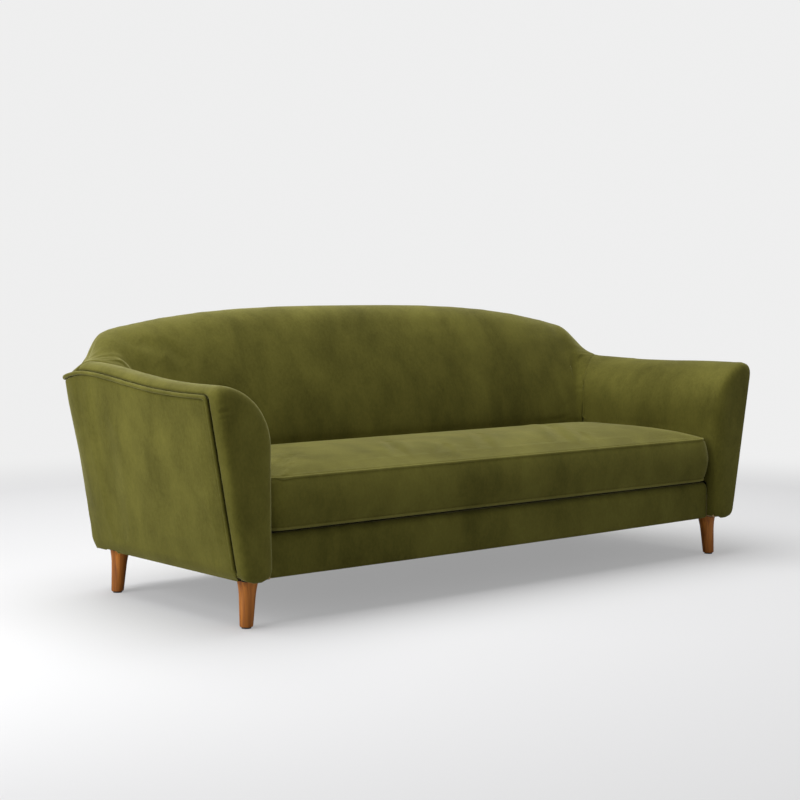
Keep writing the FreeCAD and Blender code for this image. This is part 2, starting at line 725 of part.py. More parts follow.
def make_base_frame():
    thickness = "Sizes.rail_thickness"
    height = "Sizes.rail_height"
    between = f"{REAR_RAIL_FRONT} - {FRONT_RAIL_BACK}"
    keep("front_rail", timber(
        "front_rail", "Sizes.seat_width", thickness, height,
        (f"-{ARM_FACE}", APRON_BACK, RAIL_BOTTOM)))
    keep("rear_rail", timber(
        "rear_rail", f"Sizes.seat_width - 2 * {thickness}", thickness, height,
        (f"{thickness} - {ARM_FACE}", REAR_RAIL_FRONT, RAIL_BOTTOM)))
    for name, side in SIDES.items():
        rail_x = side_corner(side, f"{ARM_FACE} - {thickness}", thickness)
        keep(f"{name}_side_rail", timber(
            f"{name}_side_rail", thickness, f"{REAR_RAIL_BACK} - {FRONT_RAIL_BACK}", height,
            (rail_x, FRONT_RAIL_BACK, RAIL_BOTTOM)))
        cross_x = side_corner(side, f"Sizes.cross_rail_spacing / 2 - {thickness} / 2", thickness)
        keep(f"{name}_cross_rail", timber(
            f"{name}_cross_rail", thickness, between, "Sizes.cross_rail_height",
            (cross_x, FRONT_RAIL_BACK, RAIL_BOTTOM)))


# Legs and their fixings

def bolt_at(name, side, along):
    """Hanger bolt from a leg up into its block."""
    bolt = doc.addObject("Part::Cylinder", name)
    bolt.setExpression("Radius", "Sizes.bolt_radius")
    bolt.setExpression(
        "Height", "Sizes.bolt_in_leg + Sizes.plate_thickness + Sizes.bolt_in_block")
    bolt.setExpression("Placement.Base.x", f"{side} * {BLOCK_MIDDLE}")
    bolt.setExpression("Placement.Base.y", along)
    bolt.setExpression("Placement.Base.z", f"{LEG_TOP} - Sizes.bolt_in_leg")
    return bolt


def drilled(label, piece, bolt):
    """A piece with the hole that its bolt passes through."""
    cut = doc.addObject("Part::Cut", label)
    cut.Base = piece
    cut.Tool = bolt
    return cut


def rebated(label, block, side):
    """A front block with a rebate for the cheek of the arm front."""
    rebate = timber(
        label + "_space", REBATE_WIDTH, f"{CHEEK_BACK} + Sizes.clearance - {ARM_FRONT}",
        "Sizes.block_height",
        (side_corner(side, ARM_FACE, REBATE_WIDTH), ARM_FRONT, RAIL_BOTTOM))
    cut = doc.addObject("Part::Cut", label)
    cut.Base = block
    cut.Tool = rebate
    return cut


def turned_leg(name, side, end_sign, along):
    """Tapered leg with a flared top, leaning outwards, cut level at both ends."""
    spare = size("turning_spare")
    body = doc.addObject("PartDesign::Body", name + "_turning")
    rise = f"({LEG_TOP} - Sizes.glide_height)"
    top_end = f"{rise} + {2 * spare}"
    corners = [("0", "0"), ("Sizes.leg_foot_radius", "0"),
               ("Sizes.leg_neck_radius", f"Sizes.leg_neck_height + {spare}"),
               ("Sizes.leg_top_radius", top_end), ("0", top_end)]
    sketch = profile_sketch(body, "XZ_Plane", corners)
    turning = body.newObject("PartDesign::Revolution", name + "_revolution")
    turning.Profile = sketch
    turning.ReferenceAxis = (sketch, ["V_Axis"])
    turning.Angle = 360
    top = Vector(side * value(BLOCK_MIDDLE), value(along), value(LEG_TOP))
    foot = top + Vector(side * size("leg_splay_across"), end_sign * size("leg_splay_along"),
                        size("glide_height") - value(LEG_TOP))
    axis = (top - foot).normalize()
    body.Placement = Placement(foot - axis * spare, Rotation(Vector(0, 0, 1), axis))
    reach = "(4 * Sizes.leg_top_radius)"
    slab = timber(name + "_slab", reach, reach, rise,
                  (f"{side} * {BLOCK_MIDDLE} - {reach} / 2", f"{along} - {reach} / 2",
                   "Sizes.glide_height"))
    leg = doc.addObject("Part::Common", name + "_level")
    leg.Base = body
    leg.Tool = slab
    return leg, foot


def make_legs():
    bolts = []
    plates = []
    glides = []
    for end, along in ENDS.items():
        end_sign = -1 if end == "front" else 1
        block_y = ARM_FRONT if end == "front" else REAR_BLOCK_FRONT
        for name, side in SIDES.items():
            place = f"{end}_{name}"
            bolt = bolt_at(f"{place}_bolt", side, along)
            bolts.append(bolt)
            leg, foot = turned_leg(f"{place}_leg", side, end_sign, along)
            keep(f"{place}_leg", drilled(f"{place}_leg_drilled", leg, bolt))
            block = timber(
                f"{place}_block", "Sizes.block_width", "Sizes.block_length",
                "Sizes.block_height",
                (side_corner(side, ARM_FACE, "Sizes.block_width"), block_y, RAIL_BOTTOM))
            if end == "front":
                block = rebated(f"{place}_block_rebated", block, side)
            keep(f"{place}_leg_block", drilled(f"{place}_block_drilled", block, bolt))
            plate = timber(
                f"{place}_plate", "Sizes.plate_side", "Sizes.plate_side",
                "Sizes.plate_thickness",
                (f"{side} * {BLOCK_MIDDLE} - Sizes.plate_side / 2",
                 f"{along} - Sizes.plate_side / 2", LEG_TOP))
            plates.append(drilled(f"{place}_plate_drilled", plate, bolt))
            glide = doc.addObject("Part::Cylinder", f"{place}_glide")
            glide.setExpression("Radius", "Sizes.glide_radius")
            glide.setExpression("Height", "Sizes.glide_height")
            glide.Placement = Placement(Vector(foot.x, foot.y, 0), Rotation())
            glides.append(glide)
    group("hanger_bolts", bolts)
    group("leg_plates", plates)
    group("leg_glides", glides)


# Arm frames

def make_former(label, side, front, height_from):
    """Shaped board that carries the arm pad and the outer panel."""
    points = section(value(TURN_X), value(front), 0.0)
    tail, lining, shoulder, hem = pad_lining(points)
    gap = 2 * size("clearance")
    slope = size("arm_splay") / (points["welt"][1] - size("underside"))
    skin = points["foot"][0] - size("panel_thickness") - gap
    base = value(height_from)
    top = tail[1] - gap
    outer_top = skin + slope * (top - size("underside"))
    outer_base = skin + slope * (base - size("underside"))
    inner_base = (hem[0] + gap, base)
    inner_top = (shoulder[0] + gap, shoulder[1])
    roll = (lining[0] + gap, lining[1] - gap)
    spots = [stand(p, value(TURN_X), value(front), 0.0, side) for p in (
        inner_base, inner_top, roll, (tail[0], top), (outer_top, top), (outer_base, base))]
    outline = Part.Wire([
        line(spots[0], spots[1]),
        arc(*spots[1:4]),
        line(spots[3], spots[4]),
        line(spots[4], spots[5]),
        line(spots[5], spots[0]),
    ])
    thickness = Vector(0, size("former_thickness"), 0)
    solid_piece(label, Part.Face(outline).extrude(thickness))


def make_arm_frames():
    run = f"{REAR_FORMER_FRONT} - {FORMER_BACK}"
    for name, side in SIDES.items():
        make_former(f"{name}_arm_front_former", side, ARM_FRONT, BLOCK_TOP)
        make_former(f"{name}_arm_rear_former", side, REAR_FORMER_FRONT, BLOCK_TOP)
        base_x = side_corner(side, f"{ARM_FACE} + Sizes.arm_rail_offset", "Sizes.arm_rail_thickness")
        keep(f"{name}_arm_base_rail", timber(
            f"{name}_arm_base_rail", "Sizes.arm_rail_thickness",
            f"{REAR_BLOCK_FRONT} - {ARM_FRONT} - Sizes.block_length", "Sizes.block_height",
            (base_x, f"{ARM_FRONT} + Sizes.block_length", RAIL_BOTTOM)))
        top_reach = "(Sizes.arm_crest_reach - Sizes.top_rail_width + Sizes.top_rail_shift)"
        top_x = side_corner(side, f"{ARM_FACE} + {top_reach}", "Sizes.top_rail_width")
        top_z = "Sizes.arm_height - Sizes.top_rail_drop - Sizes.top_rail_height"
        keep(f"{name}_arm_top_rail", timber(
            f"{name}_arm_top_rail", "Sizes.top_rail_width", run, "Sizes.top_rail_height",
            (top_x, FORMER_BACK, top_z)))
        tack_x = side_corner(
            side, f"{ARM_FACE} + Sizes.arm_foam + 2 * Sizes.clearance", "Sizes.tack_rail_width")
        keep(f"{name}_arm_tack_rail", timber(
            f"{name}_arm_tack_rail", "Sizes.tack_rail_width", run, "Sizes.tack_rail_height",
            (tack_x, FORMER_BACK, f"{DECK} + Sizes.clearance")))


# Back frame, which leans with the outside back panel

def lean_placement(across, out, up):
    """Place of a back frame piece, given on the inner face of the outside back panel."""
    lean = Rotation(Vector(1, 0, 0), -math.degrees(math.atan(value(REAR_SLOPE))))
    foot = Vector(0, value(REAR_FOOT) - size("panel_thickness"), size("underside"))
    return Placement(foot, lean).multiply(Placement(Vector(across, out, up), Rotation()))


def leaning_board(label, across, up, corner):
    """A straight board of the back frame."""
    piece = doc.addObject("Part::Box", label)
    piece.setExpression("Length", across)
    piece.setExpression("Width", "Sizes.back_frame_thickness")
    piece.setExpression("Height", up)
    piece.Placement = lean_placement(corner[0], -size("back_frame_thickness") - size("clearance"),
                                     corner[1])
    return piece


def make_back_frame():
    half = value(TURN_X)
    foot = f"({RAIL_TOP} - Sizes.underside + Sizes.clearance)"
    lower_top = f"({foot} + Sizes.lower_rail_height)"
    arch_top = f"({BACK_WELT} - Sizes.underside - Sizes.arch_drop)"
    arch_base = f"({arch_top} - Sizes.arch_rail_depth)"
    inside = half - size("post_width")
    for name, side in SIDES.items():
        keep(f"{name}_back_post", leaning_board(
            f"{name}_back_post", "Sizes.post_width", f"{arch_base} - {foot}",
            (inside if side > 0 else -half, value(foot))))
        upright_x = side * size("upright_spacing") / 2 - size("post_width") / 2
        keep(f"{name}_back_upright", leaning_board(
            f"{name}_back_upright", "Sizes.post_width", f"{arch_base} - {lower_top}",
            (upright_x, value(lower_top))))
    keep("back_lower_rail", leaning_board(
        "back_lower_rail", f"2 * ({TURN_X} - Sizes.post_width)", "Sizes.lower_rail_height",
        (-inside, value(foot))))
    width = f"(2 * {TURN_X})"
    end_height = "(Sizes.arch_rail_depth - Sizes.arch_fall)"
    radius = f"(({TURN_X} ^ 2 + Sizes.arch_fall ^ 2) / (2 * Sizes.arch_fall))"
    corners = [("0", "0"), (width, "0"), (width, end_height), ("0", end_height)]
    arch = board("back_top_rail", "XZ_Plane", corners, "Sizes.back_frame_thickness",
                 {2: radius}, hollow=False)
    arch.Placement = lean_placement(-half, -size("clearance"), value(arch_base))
    keep("back_top_rail", arch)


# Webbing, seat platform and dust cover

def spread(count, first, last, width):
    """Start of each of several straps spaced evenly between two lines."""
    pitch = (last - first) / count
    return [first + pitch * (index + 0.5) - width / 2 for index in range(count)]


def make_seat_support():
    width = size("webbing_width")
    face = value(ARM_FACE)
    length = f"{SEAT_REAR} - {APRON_BACK}"
    long_straps = [
        timber(f"seat_strap_{number}", "Sizes.webbing_width", length, "Sizes.webbing_thickness",
               (f"{start}", APRON_BACK, RAIL_TOP))
        for number, start in enumerate(spread(int(size("seat_strap_count")), -face, face, width))]
    group("seat_webbing", long_straps)
    first = value(FRONT_RAIL_BACK)
    last = value(BACK_LINE)
    cross_straps = [
        timber(f"cross_strap_{number}", "Sizes.seat_width", "Sizes.webbing_width",
               "Sizes.webbing_thickness", (f"-{ARM_FACE}", f"{start}", CROSS_STRAP_BOTTOM))
        for number, start in enumerate(spread(int(size("cross_strap_count")), first, last, width))]
    group("seat_cross_webbing", cross_straps)
    keep("seat_platform", timber(
        "seat_platform", "Sizes.seat_width", length, "Sizes.platform_thickness",
        (f"-{ARM_FACE}", APRON_BACK, PLATFORM_BOTTOM)))


def make_back_webbing():
    width = size("webbing_width")
    first = value(DECK) - size("underside") + size("lower_rail_height")
    last = value(BACK_WELT) - size("underside") - size("arch_rail_depth")
    out = -size("back_frame_thickness") - size("webbing_thickness") - size("clearance")
    straps = []
    for number, start in enumerate(spread(int(size("back_strap_count")), first, last, width)):
        strap = doc.addObject("Part::Box", f"back_strap_{number}")
        strap.setExpression("Length", f"2 * {TURN_X}")
        strap.setExpression("Width", "Sizes.webbing_thickness")
        strap.setExpression("Height", "Sizes.webbing_width")
        strap.Placement = lean_placement(-value(TURN_X), out, start)
        straps.append(strap)
    group("back_webbing", straps)


def make_dust_cover():
    """Thin cloth under the frame, rounded at the rear and open round the leg plates."""
    half = f"({ARM_FACE} + Sizes.arm_foot - Sizes.panel_thickness - Sizes.dust_cover_gap)"
    length = f"{REAR_RAIL_BACK} - {ARM_FRONT} - Sizes.dust_cover_gap"
    level = f"{RAIL_BOTTOM} - Sizes.dust_cover_thickness"
    cloth = timber("dust_cloth", f"2 * {half}", length, "Sizes.dust_cover_thickness",
                   (f"-{half}", f"{ARM_FRONT} + Sizes.dust_cover_gap", level))
    doc.recompute()
    rear = value(REAR_RAIL_BACK)
    upright = [number for number, edge in enumerate(cloth.Shape.Edges, start=1)
               if abs(edge.Vertexes[0].X - edge.Vertexes[-1].X) < 1e-6
               and abs(edge.Vertexes[0].Y - edge.Vertexes[-1].Y) < 1e-6
               and abs(edge.Vertexes[0].Y - rear) < 1e-6]
    rounded = doc.addObject("Part::Fillet", "dust_cloth_rounded")
    rounded.Base = cloth
    radius = size("foot_corner") - size("panel_thickness")
    rounded.Edges = [(number, radius, radius) for number in upright]
    holes = []
    for end, along in ENDS.items():
        for name, side in SIDES.items():
            hole_side = "(Sizes.plate_side + Sizes.dust_cover_gap)"
            holes.append(timber(
                f"{end}_{name}_dust_hole", hole_side, hole_side, "Sizes.dust_cover_thickness",
                (f"{side} * {BLOCK_MIDDLE} - {hole_side} / 2", f"{along} - {hole_side} / 2",
                 level)))
    holes.append(timber(
        "dust_cover_front", f"Sizes.seat_width + 2 * {REBATE_WIDTH}", f"{APRON_BACK} - {ARM_FRONT}",
        "Sizes.dust_cover_thickness", (f"-{ARM_FACE} - {REBATE_WIDTH}", ARM_FRONT, level)))
    openings = doc.addObject("Part::MultiFuse", "dust_cover_holes")
    openings.Shapes = holes
    cover = doc.addObject("Part::Cut", "dust_cover_cut")
    cover.Base = rounded
    cover.Tool = openings
    keep("dust_cover", cover)


make_back_pad()
make_outside_back()
for side_name, side_sign in SIDES.items():
    make_arm_pad(side_name, side_sign)
    make_arm_front(side_name, side_sign)
    make_outer_panel(side_name, side_sign)
make_cushion()
make_apron()
make_base_frame()
make_legs()
make_arm_frames()
make_back_frame()
make_seat_support()
make_back_webbing()
make_dust_cover()

doc.recompute()
failed = [item.Label for item in doc.Objects if {"Invalid", "Error"} & set(item.State)]
failed += [piece.Label for piece in pieces if piece.Shape.isNull() or not piece.Shape.isValid()]
if failed:
    raise RuntimeError("failed objects: " + ", ".join(failed))

os.makedirs("parts", exist_ok=True)
for piece in pieces:
    piece.Shape.exportStep(f"parts/{piece.Label}.step")
    volume = piece.Shape.Volume / 1000
    print(f"{piece.Label}: {len(piece.Shape.Solids)} solid(s), {volume:.1f} cm3")
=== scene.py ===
# %% [markdown]
# A velvet three-seater sofa
#
# The frame comes from the CAD model: timber, straps, legs and the solids of the upholstery, all
# in metres, with the front towards -Y and the floor at Z = 0. This script dresses it. The hard
# pieces keep their CAD shape and get a finish, apart from the legs, which are turned again with a
# softer flare. Every upholstered solid is replaced by a soft cover. Arms, back and cushion are
# stuffed with a cloth simulation, the tight covers are only lifted a little, and the sewn welts are
# laid over the seams.

# %% Load the frame
import json
import math

import bpy
import numpy as np
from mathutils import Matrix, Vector
from mathutils.bvhtree import BVHTree
from mathutils.kdtree import KDTree

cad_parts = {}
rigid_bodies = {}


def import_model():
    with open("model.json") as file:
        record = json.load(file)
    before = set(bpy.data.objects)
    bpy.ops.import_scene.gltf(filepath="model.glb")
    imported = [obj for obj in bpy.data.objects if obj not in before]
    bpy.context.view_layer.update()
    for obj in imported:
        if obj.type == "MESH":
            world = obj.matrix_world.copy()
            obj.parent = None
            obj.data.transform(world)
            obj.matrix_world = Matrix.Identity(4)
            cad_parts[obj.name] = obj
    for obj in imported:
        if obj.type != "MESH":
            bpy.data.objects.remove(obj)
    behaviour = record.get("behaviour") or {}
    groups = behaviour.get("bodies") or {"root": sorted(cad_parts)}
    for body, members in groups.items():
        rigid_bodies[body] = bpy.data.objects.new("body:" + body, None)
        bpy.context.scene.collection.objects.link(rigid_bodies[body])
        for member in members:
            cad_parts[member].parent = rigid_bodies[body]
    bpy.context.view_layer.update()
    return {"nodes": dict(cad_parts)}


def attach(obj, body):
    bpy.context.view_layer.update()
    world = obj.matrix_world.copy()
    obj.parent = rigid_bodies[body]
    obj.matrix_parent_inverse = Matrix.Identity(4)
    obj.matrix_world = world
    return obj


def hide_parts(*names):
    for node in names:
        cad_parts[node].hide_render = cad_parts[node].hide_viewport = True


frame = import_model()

MM = 0.001
nodes = frame["nodes"]

# %% [markdown]
# Camera
#
# The photograph was taken from the left, a little above the seat, with a long lens. The camera is
# placed in the same spot as the photographer stood, turned 40 degrees and tipped 4 degrees down.

# %% Camera
CAMERA_PLACE = (-3.337, -3.842, 0.886)
CAMERA_TURN = math.radians(40.01)
CAMERA_TIP = math.radians(3.89)
CAMERA_LENS = 73.0

bpy.ops.object.select_all(action="DESELECT")
bpy.ops.object.camera_add(location=CAMERA_PLACE)
camera = bpy.context.object
looking = Vector((math.sin(CAMERA_TURN) * math.cos(CAMERA_TIP),
                  math.cos(CAMERA_TURN) * math.cos(CAMERA_TIP), -math.sin(CAMERA_TIP)))
camera.rotation_euler = looking.to_track_quat("-Z", "Y").to_euler()
camera.data.lens = CAMERA_LENS
bpy.context.scene.camera = camera
bpy.context.scene.view_settings.view_transform = "Standard"
print("camera looks along", [round(a, 3) for a in looking])

# %% [markdown]
# Node helpers
#
# A procedural finish is a small graph of nodes. Two helpers keep the graphs short: one adds a node
# and fills in or links its inputs, and one mixes two colours by a mask.

# %% Node helpers
def add_node(tree, kind, settings=None, **inputs):
    made = tree.nodes.new("ShaderNode" + kind)
    for key, setting in (settings or {}).items():
        setattr(made, key, setting)
    for key, given in inputs.items():
        socket = made.inputs[key.replace("_", " ")]
        if isinstance(given, bpy.types.NodeSocket):
            tree.links.new(given, socket)
        else:
            socket.default_value = given
    return made


def mixed(tree, mask, first, second):
    """A colour between two colours, by a mask from 0 to 1."""
    made = add_node(tree, "Mix", {"data_type": "RGBA"})
    for index, given in ((0, mask), (6, first), (7, second)):
        if isinstance(given, bpy.types.NodeSocket):
            tree.links.new(given, made.inputs[index])
        else:
            made.inputs[index].default_value = given
    return made.outputs[2]


def ranged(tree, given, low, high, start=0.0, end=1.0):
    """A value moved from one range to another, and kept inside it."""
    return add_node(tree, "MapRange", Value=given, From_Min=start, From_Max=end,
                    To_Min=low, To_Max=high).outputs[0]


def new_group(name, inputs, outputs):
    """An empty node group with named number inputs and typed outputs."""
    group = bpy.data.node_groups.new(name, "ShaderNodeTree")
    for label, default in inputs.items():
        socket = group.interface.new_socket(label, in_out="INPUT", socket_type="NodeSocketFloat")
        socket.default_value = default
    for label, kind in outputs.items():
        group.interface.new_socket(label, in_out="OUTPUT", socket_type="NodeSocket" + kind)
    return group, group.nodes.new("NodeGroupInput"), group.nodes.new("NodeGroupOutput")


def new_material(name):
    material = bpy.data.materials.new(name)
    material.use_nodes = True
    tree = material.node_tree
    return material, tree, tree.nodes["Principled BSDF"]


def place_group(tree, group, **values):
    made = add_node(tree, "Group", {"node_tree": group})
    for key, number in values.items():
        made.inputs[key.replace("_", " ")].default_value = number
    return made


# %% [markdown]
# Floor, background and light
#
# A studio sweep is a pale floor that runs into a pale background without a line. Near the sofa the
# floor is a plain matt surface, so it takes the soft shadow, and further out it fades into the
# colour of the background. Most light comes from above and from the left end of the sofa, which
# leaves the front faces darker than the side, as in the photograph.

# %% Floor and background
PALE = 0.86
FLOOR_SIZE = 80.0
SHADOW_RANGE = (1.6, 4.2)
SHADOW_LIFT = 0.36
FLOOR_UNSEEN, FLOOR_SEEN = (0.4, 0.4, 0.4, 1), (0.66, 0.66, 0.67, 1)
FLOOR_ROUGHNESS, FLOOR_SHINE = 0.7, 0.1

bpy.ops.object.select_all(action="DESELECT")
bpy.ops.mesh.primitive_plane_add(size=FLOOR_SIZE)
floor = bpy.context.object
floor.name = "studio_floor"
floor_paint, tree, shader = new_material("studio_floor")
place = add_node(tree, "TexCoord").outputs["Object"]
distance = add_node(tree, "VectorMath", {"operation": "LENGTH"}, Vector=place).outputs["Value"]
fade = add_node(tree, "MapRange", {"interpolation_type": "SMOOTHERSTEP"}, Value=distance,
                From_Min=SHADOW_RANGE[0], From_Max=SHADOW_RANGE[1]).outputs[0]
sight = add_node(tree, "LightPath").outputs["Is Camera Ray"]
tree.links.new(mixed(tree, sight, FLOOR_UNSEEN, FLOOR_SEEN), shader.inputs["Base Color"])
lift = add_node(tree, "Math", {"operation": "MULTIPLY"})
tree.links.new(sight, lift.inputs[0])
lift.inputs[1].default_value = SHADOW_LIFT
pale_share = add_node(tree, "Math", {"operation": "MAXIMUM"})
tree.links.new(fade, pale_share.inputs[0])
tree.links.new(lift.outputs[0], pale_share.inputs[1])
shader.inputs["Roughness"].default_value = FLOOR_ROUGHNESS
shader.inputs["Specular IOR Level"].default_value = FLOOR_SHINE
glow = add_node(tree, "Emission", Color=(PALE, PALE, PALE, 1), Strength=1.0)
blend = add_node(tree, "MixShader")
tree.links.new(pale_share.outputs[0], blend.inputs[0])
tree.links.new(shader.outputs[0], blend.inputs[1])
tree.links.new(glow.outputs[0], blend.inputs[2])
tree.links.new(blend.outputs[0], tree.nodes["Material Output"].inputs["Surface"])
floor.data.materials.append(floor_paint)

AMBIENT = 0.2
world = bpy.data.worlds.new("studio")
bpy.context.scene.world = world
world.use_nodes = True
tree = world.node_tree
path = add_node(tree, "LightPath")
seen = add_node(tree, "Math", {"operation": "MAXIMUM"})
tree.links.new(path.outputs["Is Camera Ray"], seen.inputs[0])
tree.links.new(path.outputs["Is Glossy Ray"], seen.inputs[1])
shown = add_node(tree, "Math", {"operation": "MAXIMUM"})
tree.links.new(seen.outputs[0], shown.inputs[0])
tree.links.new(path.outputs["Is Transmission Ray"], shown.inputs[1])
backdrop = tree.nodes["Background"]
tree.links.new(mixed(tree, shown.outputs[0], (AMBIENT, AMBIENT, AMBIENT, 1),
                     (PALE, PALE, PALE, 1)), backdrop.inputs["Color"])

# %% Lamps
# Each lamp's place, the point it is aimed at, its width and its power in watts
LAMPS = {"overhead_box": ((-0.4, 0.7, 4.2), (0, 0, 0.3), 4.5, 270),
         "left_box": ((-2.7, 0.1, 0.95), (0, 0, 0.45), 1.6, 31),
         "front_fill": ((2.2, -5.0, 2.4), (0, 0, 0.4), 3.0, 18)}


def soft_lamp(name, place, target, width, power):
    bpy.ops.object.light_add(type="AREA", location=place)
    lamp = bpy.context.object
    lamp.name = name
    lamp.data.size = width
    lamp.data.energy = power
    lamp.rotation_euler = (Vector(target) - Vector(place)).to_track_quat("-Z", "Y").to_euler()


for name, lamp_values in LAMPS.items():
    soft_lamp(name, *lamp_values)
print("floor, background and", len(LAMPS), "lamps")

# %% [markdown]
# Velvet
#
# Velvet is a cut pile: thousands of short fibres that stand up from the cloth. Seen along the
# fibres it looks deep and dark, and on every edge that turns away it lights up. The shader's sheen
# gives that rim. The pile also lies in slightly different directions, which shows as soft upright
# patches of lighter and darker green, and those come from stretched noise in a shared node group.
# The cushion's thin welts get a lighter copy of the velvet: a painted highlight that stands in for
# the light the sheen catches along them.

# %% Pile pattern shared by all cloth
BROAD_SCALE, ROW_SCALE = 2.3, 150.0
NAP_SHARE, PATCH_SHARE, SPECKLE_SHARE, ROW_HEIGHT = 0.45, 0.55, 0.15, 0.6


def make_pile_group():
    group, given, result = new_group(
        "cloth_pile", {"Patch": 7.0, "Stretch": 0.32, "Fibre": 900.0},
        {"Shade": "Float", "Height": "Float"})
    place = add_node(group, "TexCoord").outputs["Object"]
    stretch = add_node(group, "CombineXYZ", X=1.0, Y=1.0, Z=given.outputs["Stretch"])
    drawn = add_node(group, "VectorMath", {"operation": "MULTIPLY"})
    group.links.new(place, drawn.inputs[0])
    group.links.new(stretch.outputs[0], drawn.inputs[1])
    patches = add_node(group, "TexNoise", Vector=drawn.outputs[0], Scale=given.outputs["Patch"],
                       Detail=6.0, Roughness=0.6, Distortion=0.25).outputs[0]
    broad = add_node(group, "TexNoise", Vector=place, Scale=BROAD_SCALE, Detail=2.0).outputs[0]
    fibres = add_node(group, "TexNoise", Vector=place, Scale=given.outputs["Fibre"],
                      Detail=2.0, Roughness=0.7).outputs[0]
    rows = add_node(group, "TexNoise", Vector=drawn.outputs[0], Scale=ROW_SCALE,
                    Detail=3.0, Roughness=0.7).outputs[0]
    nap = add_node(group, "Math", {"operation": "MULTIPLY_ADD"})
    group.links.new(ranged(group, rows, -0.5, 0.5, 0.3, 0.7), nap.inputs[0])
    nap.inputs[1].default_value = NAP_SHARE
    group.links.new(ranged(group, patches, 0.0, 1.0, 0.33, 0.67), nap.inputs[2])
    shade = add_node(group, "Math", {"operation": "MULTIPLY_ADD"})
    group.links.new(nap.outputs[0], shade.inputs[0])
    shade.inputs[1].default_value = PATCH_SHARE
    group.links.new(ranged(group, broad, 0.0, 0.3, 0.3, 0.7), shade.inputs[2])
    speckled = add_node(group, "Math", {"operation": "MULTIPLY_ADD"})
    group.links.new(ranged(group, fibres, 0.0, 1.0, 0.3, 0.7), speckled.inputs[0])
    speckled.inputs[1].default_value = SPECKLE_SHARE
    group.links.new(shade.outputs[0], speckled.inputs[2])
    height = add_node(group, "Math", {"operation": "MULTIPLY_ADD"})
    group.links.new(rows, height.inputs[0])
    height.inputs[1].default_value = ROW_HEIGHT
    group.links.new(fibres, height.inputs[2])
    group.links.new(speckled.outputs[0], result.inputs["Shade"])
    group.links.new(height.outputs[0], result.inputs["Height"])
    return group


cloth_pile = make_pile_group()


def make_cloth(name, dark, light, rough, bump_depth, **pattern):
    """A cloth finish: two colours mixed by the pile pattern, with a fine bump."""
    material, tree, shader = new_material(name)
    pile = place_group(tree, cloth_pile, **pattern)
    tree.links.new(mixed(tree, pile.outputs["Shade"], dark, light), shader.inputs["Base Color"])
    tree.links.new(ranged(tree, pile.outputs["Shade"], rough, rough - 0.12),
                   shader.inputs["Roughness"])
    bump = add_node(tree, "Bump", Strength=0.5, Distance=bump_depth,
                    Height=pile.outputs["Height"])
    tree.links.new(bump.outputs[0], shader.inputs["Normal"])
    shader.inputs["Specular IOR Level"].default_value = 0.12
    return material, shader


velvet, shader = make_cloth("olive_velvet", (0.058, 0.053, 0.007, 1), (0.145, 0.134, 0.023, 1),
                            0.95, 0.5 * MM, Patch=8.0, Stretch=0.55, Fibre=900.0)
# Lighter copy of the velvet for the cushion welts: a painted highlight for the sheen on them.
welt_velvet_painted_highlight, welt_highlight_shader = make_cloth("olive_velvet_painted_highlight", (0.1, 0.092, 0.017, 1),
                                      (0.2, 0.186, 0.042, 1), 0.95, 0.5 * MM,
                                      Patch=8.0, Stretch=0.55, Fibre=900.0)
for velvet_shader in (shader, welt_highlight_shader):
    velvet_shader.inputs["Sheen Weight"].default_value = 0.5
    velvet_shader.inputs["Sheen Roughness"].default_value = 0.32
    velvet_shader.inputs["Sheen Tint"].default_value = (0.72, 0.69, 0.36, 1)
print("2 velvets")

# %% [markdown]
# Cloth, felt and foam inside the seat
#
# Under the velvet are woven straps, a felt that the cushion lies on, the cushion's pale foam and
# the black dust cloth under the frame. The felt is made near black: painted shade, so that where it
# shows in the gap under the cushion it reads as the shadow there. All four use the same pile
# pattern at other sizes, because they are fibres too, only shorter and without the rim of light.

# %% Hidden cloths
webbing, _ = make_cloth("woven_webbing", (0.012, 0.011, 0.01, 1), (0.05, 0.046, 0.04, 1),
                        0.95, 0.6 * MM, Patch=30.0, Stretch=1.0, Fibre=420.0)
# The felt is near black: painted shade, so its edge in the gap under the cushion reads as shadow.
felt, _ = make_cloth("needled_felt_painted_shade", (0.01, 0.01, 0.004, 1), (0.03, 0.028, 0.012, 1),
                     1.0, 0.8 * MM, Patch=40.0, Stretch=1.0, Fibre=600.0)
foam, _ = make_cloth("open_foam", (0.55, 0.5, 0.36, 1), (0.78, 0.74, 0.6, 1),
                     1.0, 0.8 * MM, Patch=60.0, Stretch=1.0, Fibre=700.0)
dust_cloth, _ = make_cloth("black_dust_cloth", (0.004, 0.004, 0.004, 1), (0.016, 0.016, 0.017, 1),
                           0.95, 0.3 * MM, Patch=25.0, Stretch=1.0, Fibre=800.0)
print("4 hidden cloths")

# %% [markdown]
# Wood
#
# The legs are turned from a warm brown hardwood with a satin finish. Grain is a set of growth
# rings stretched along the tree: noise that is squeezed across the grain and drawn out along it.
# The same group serves the pale sawn timber of the frame, with wider rings.

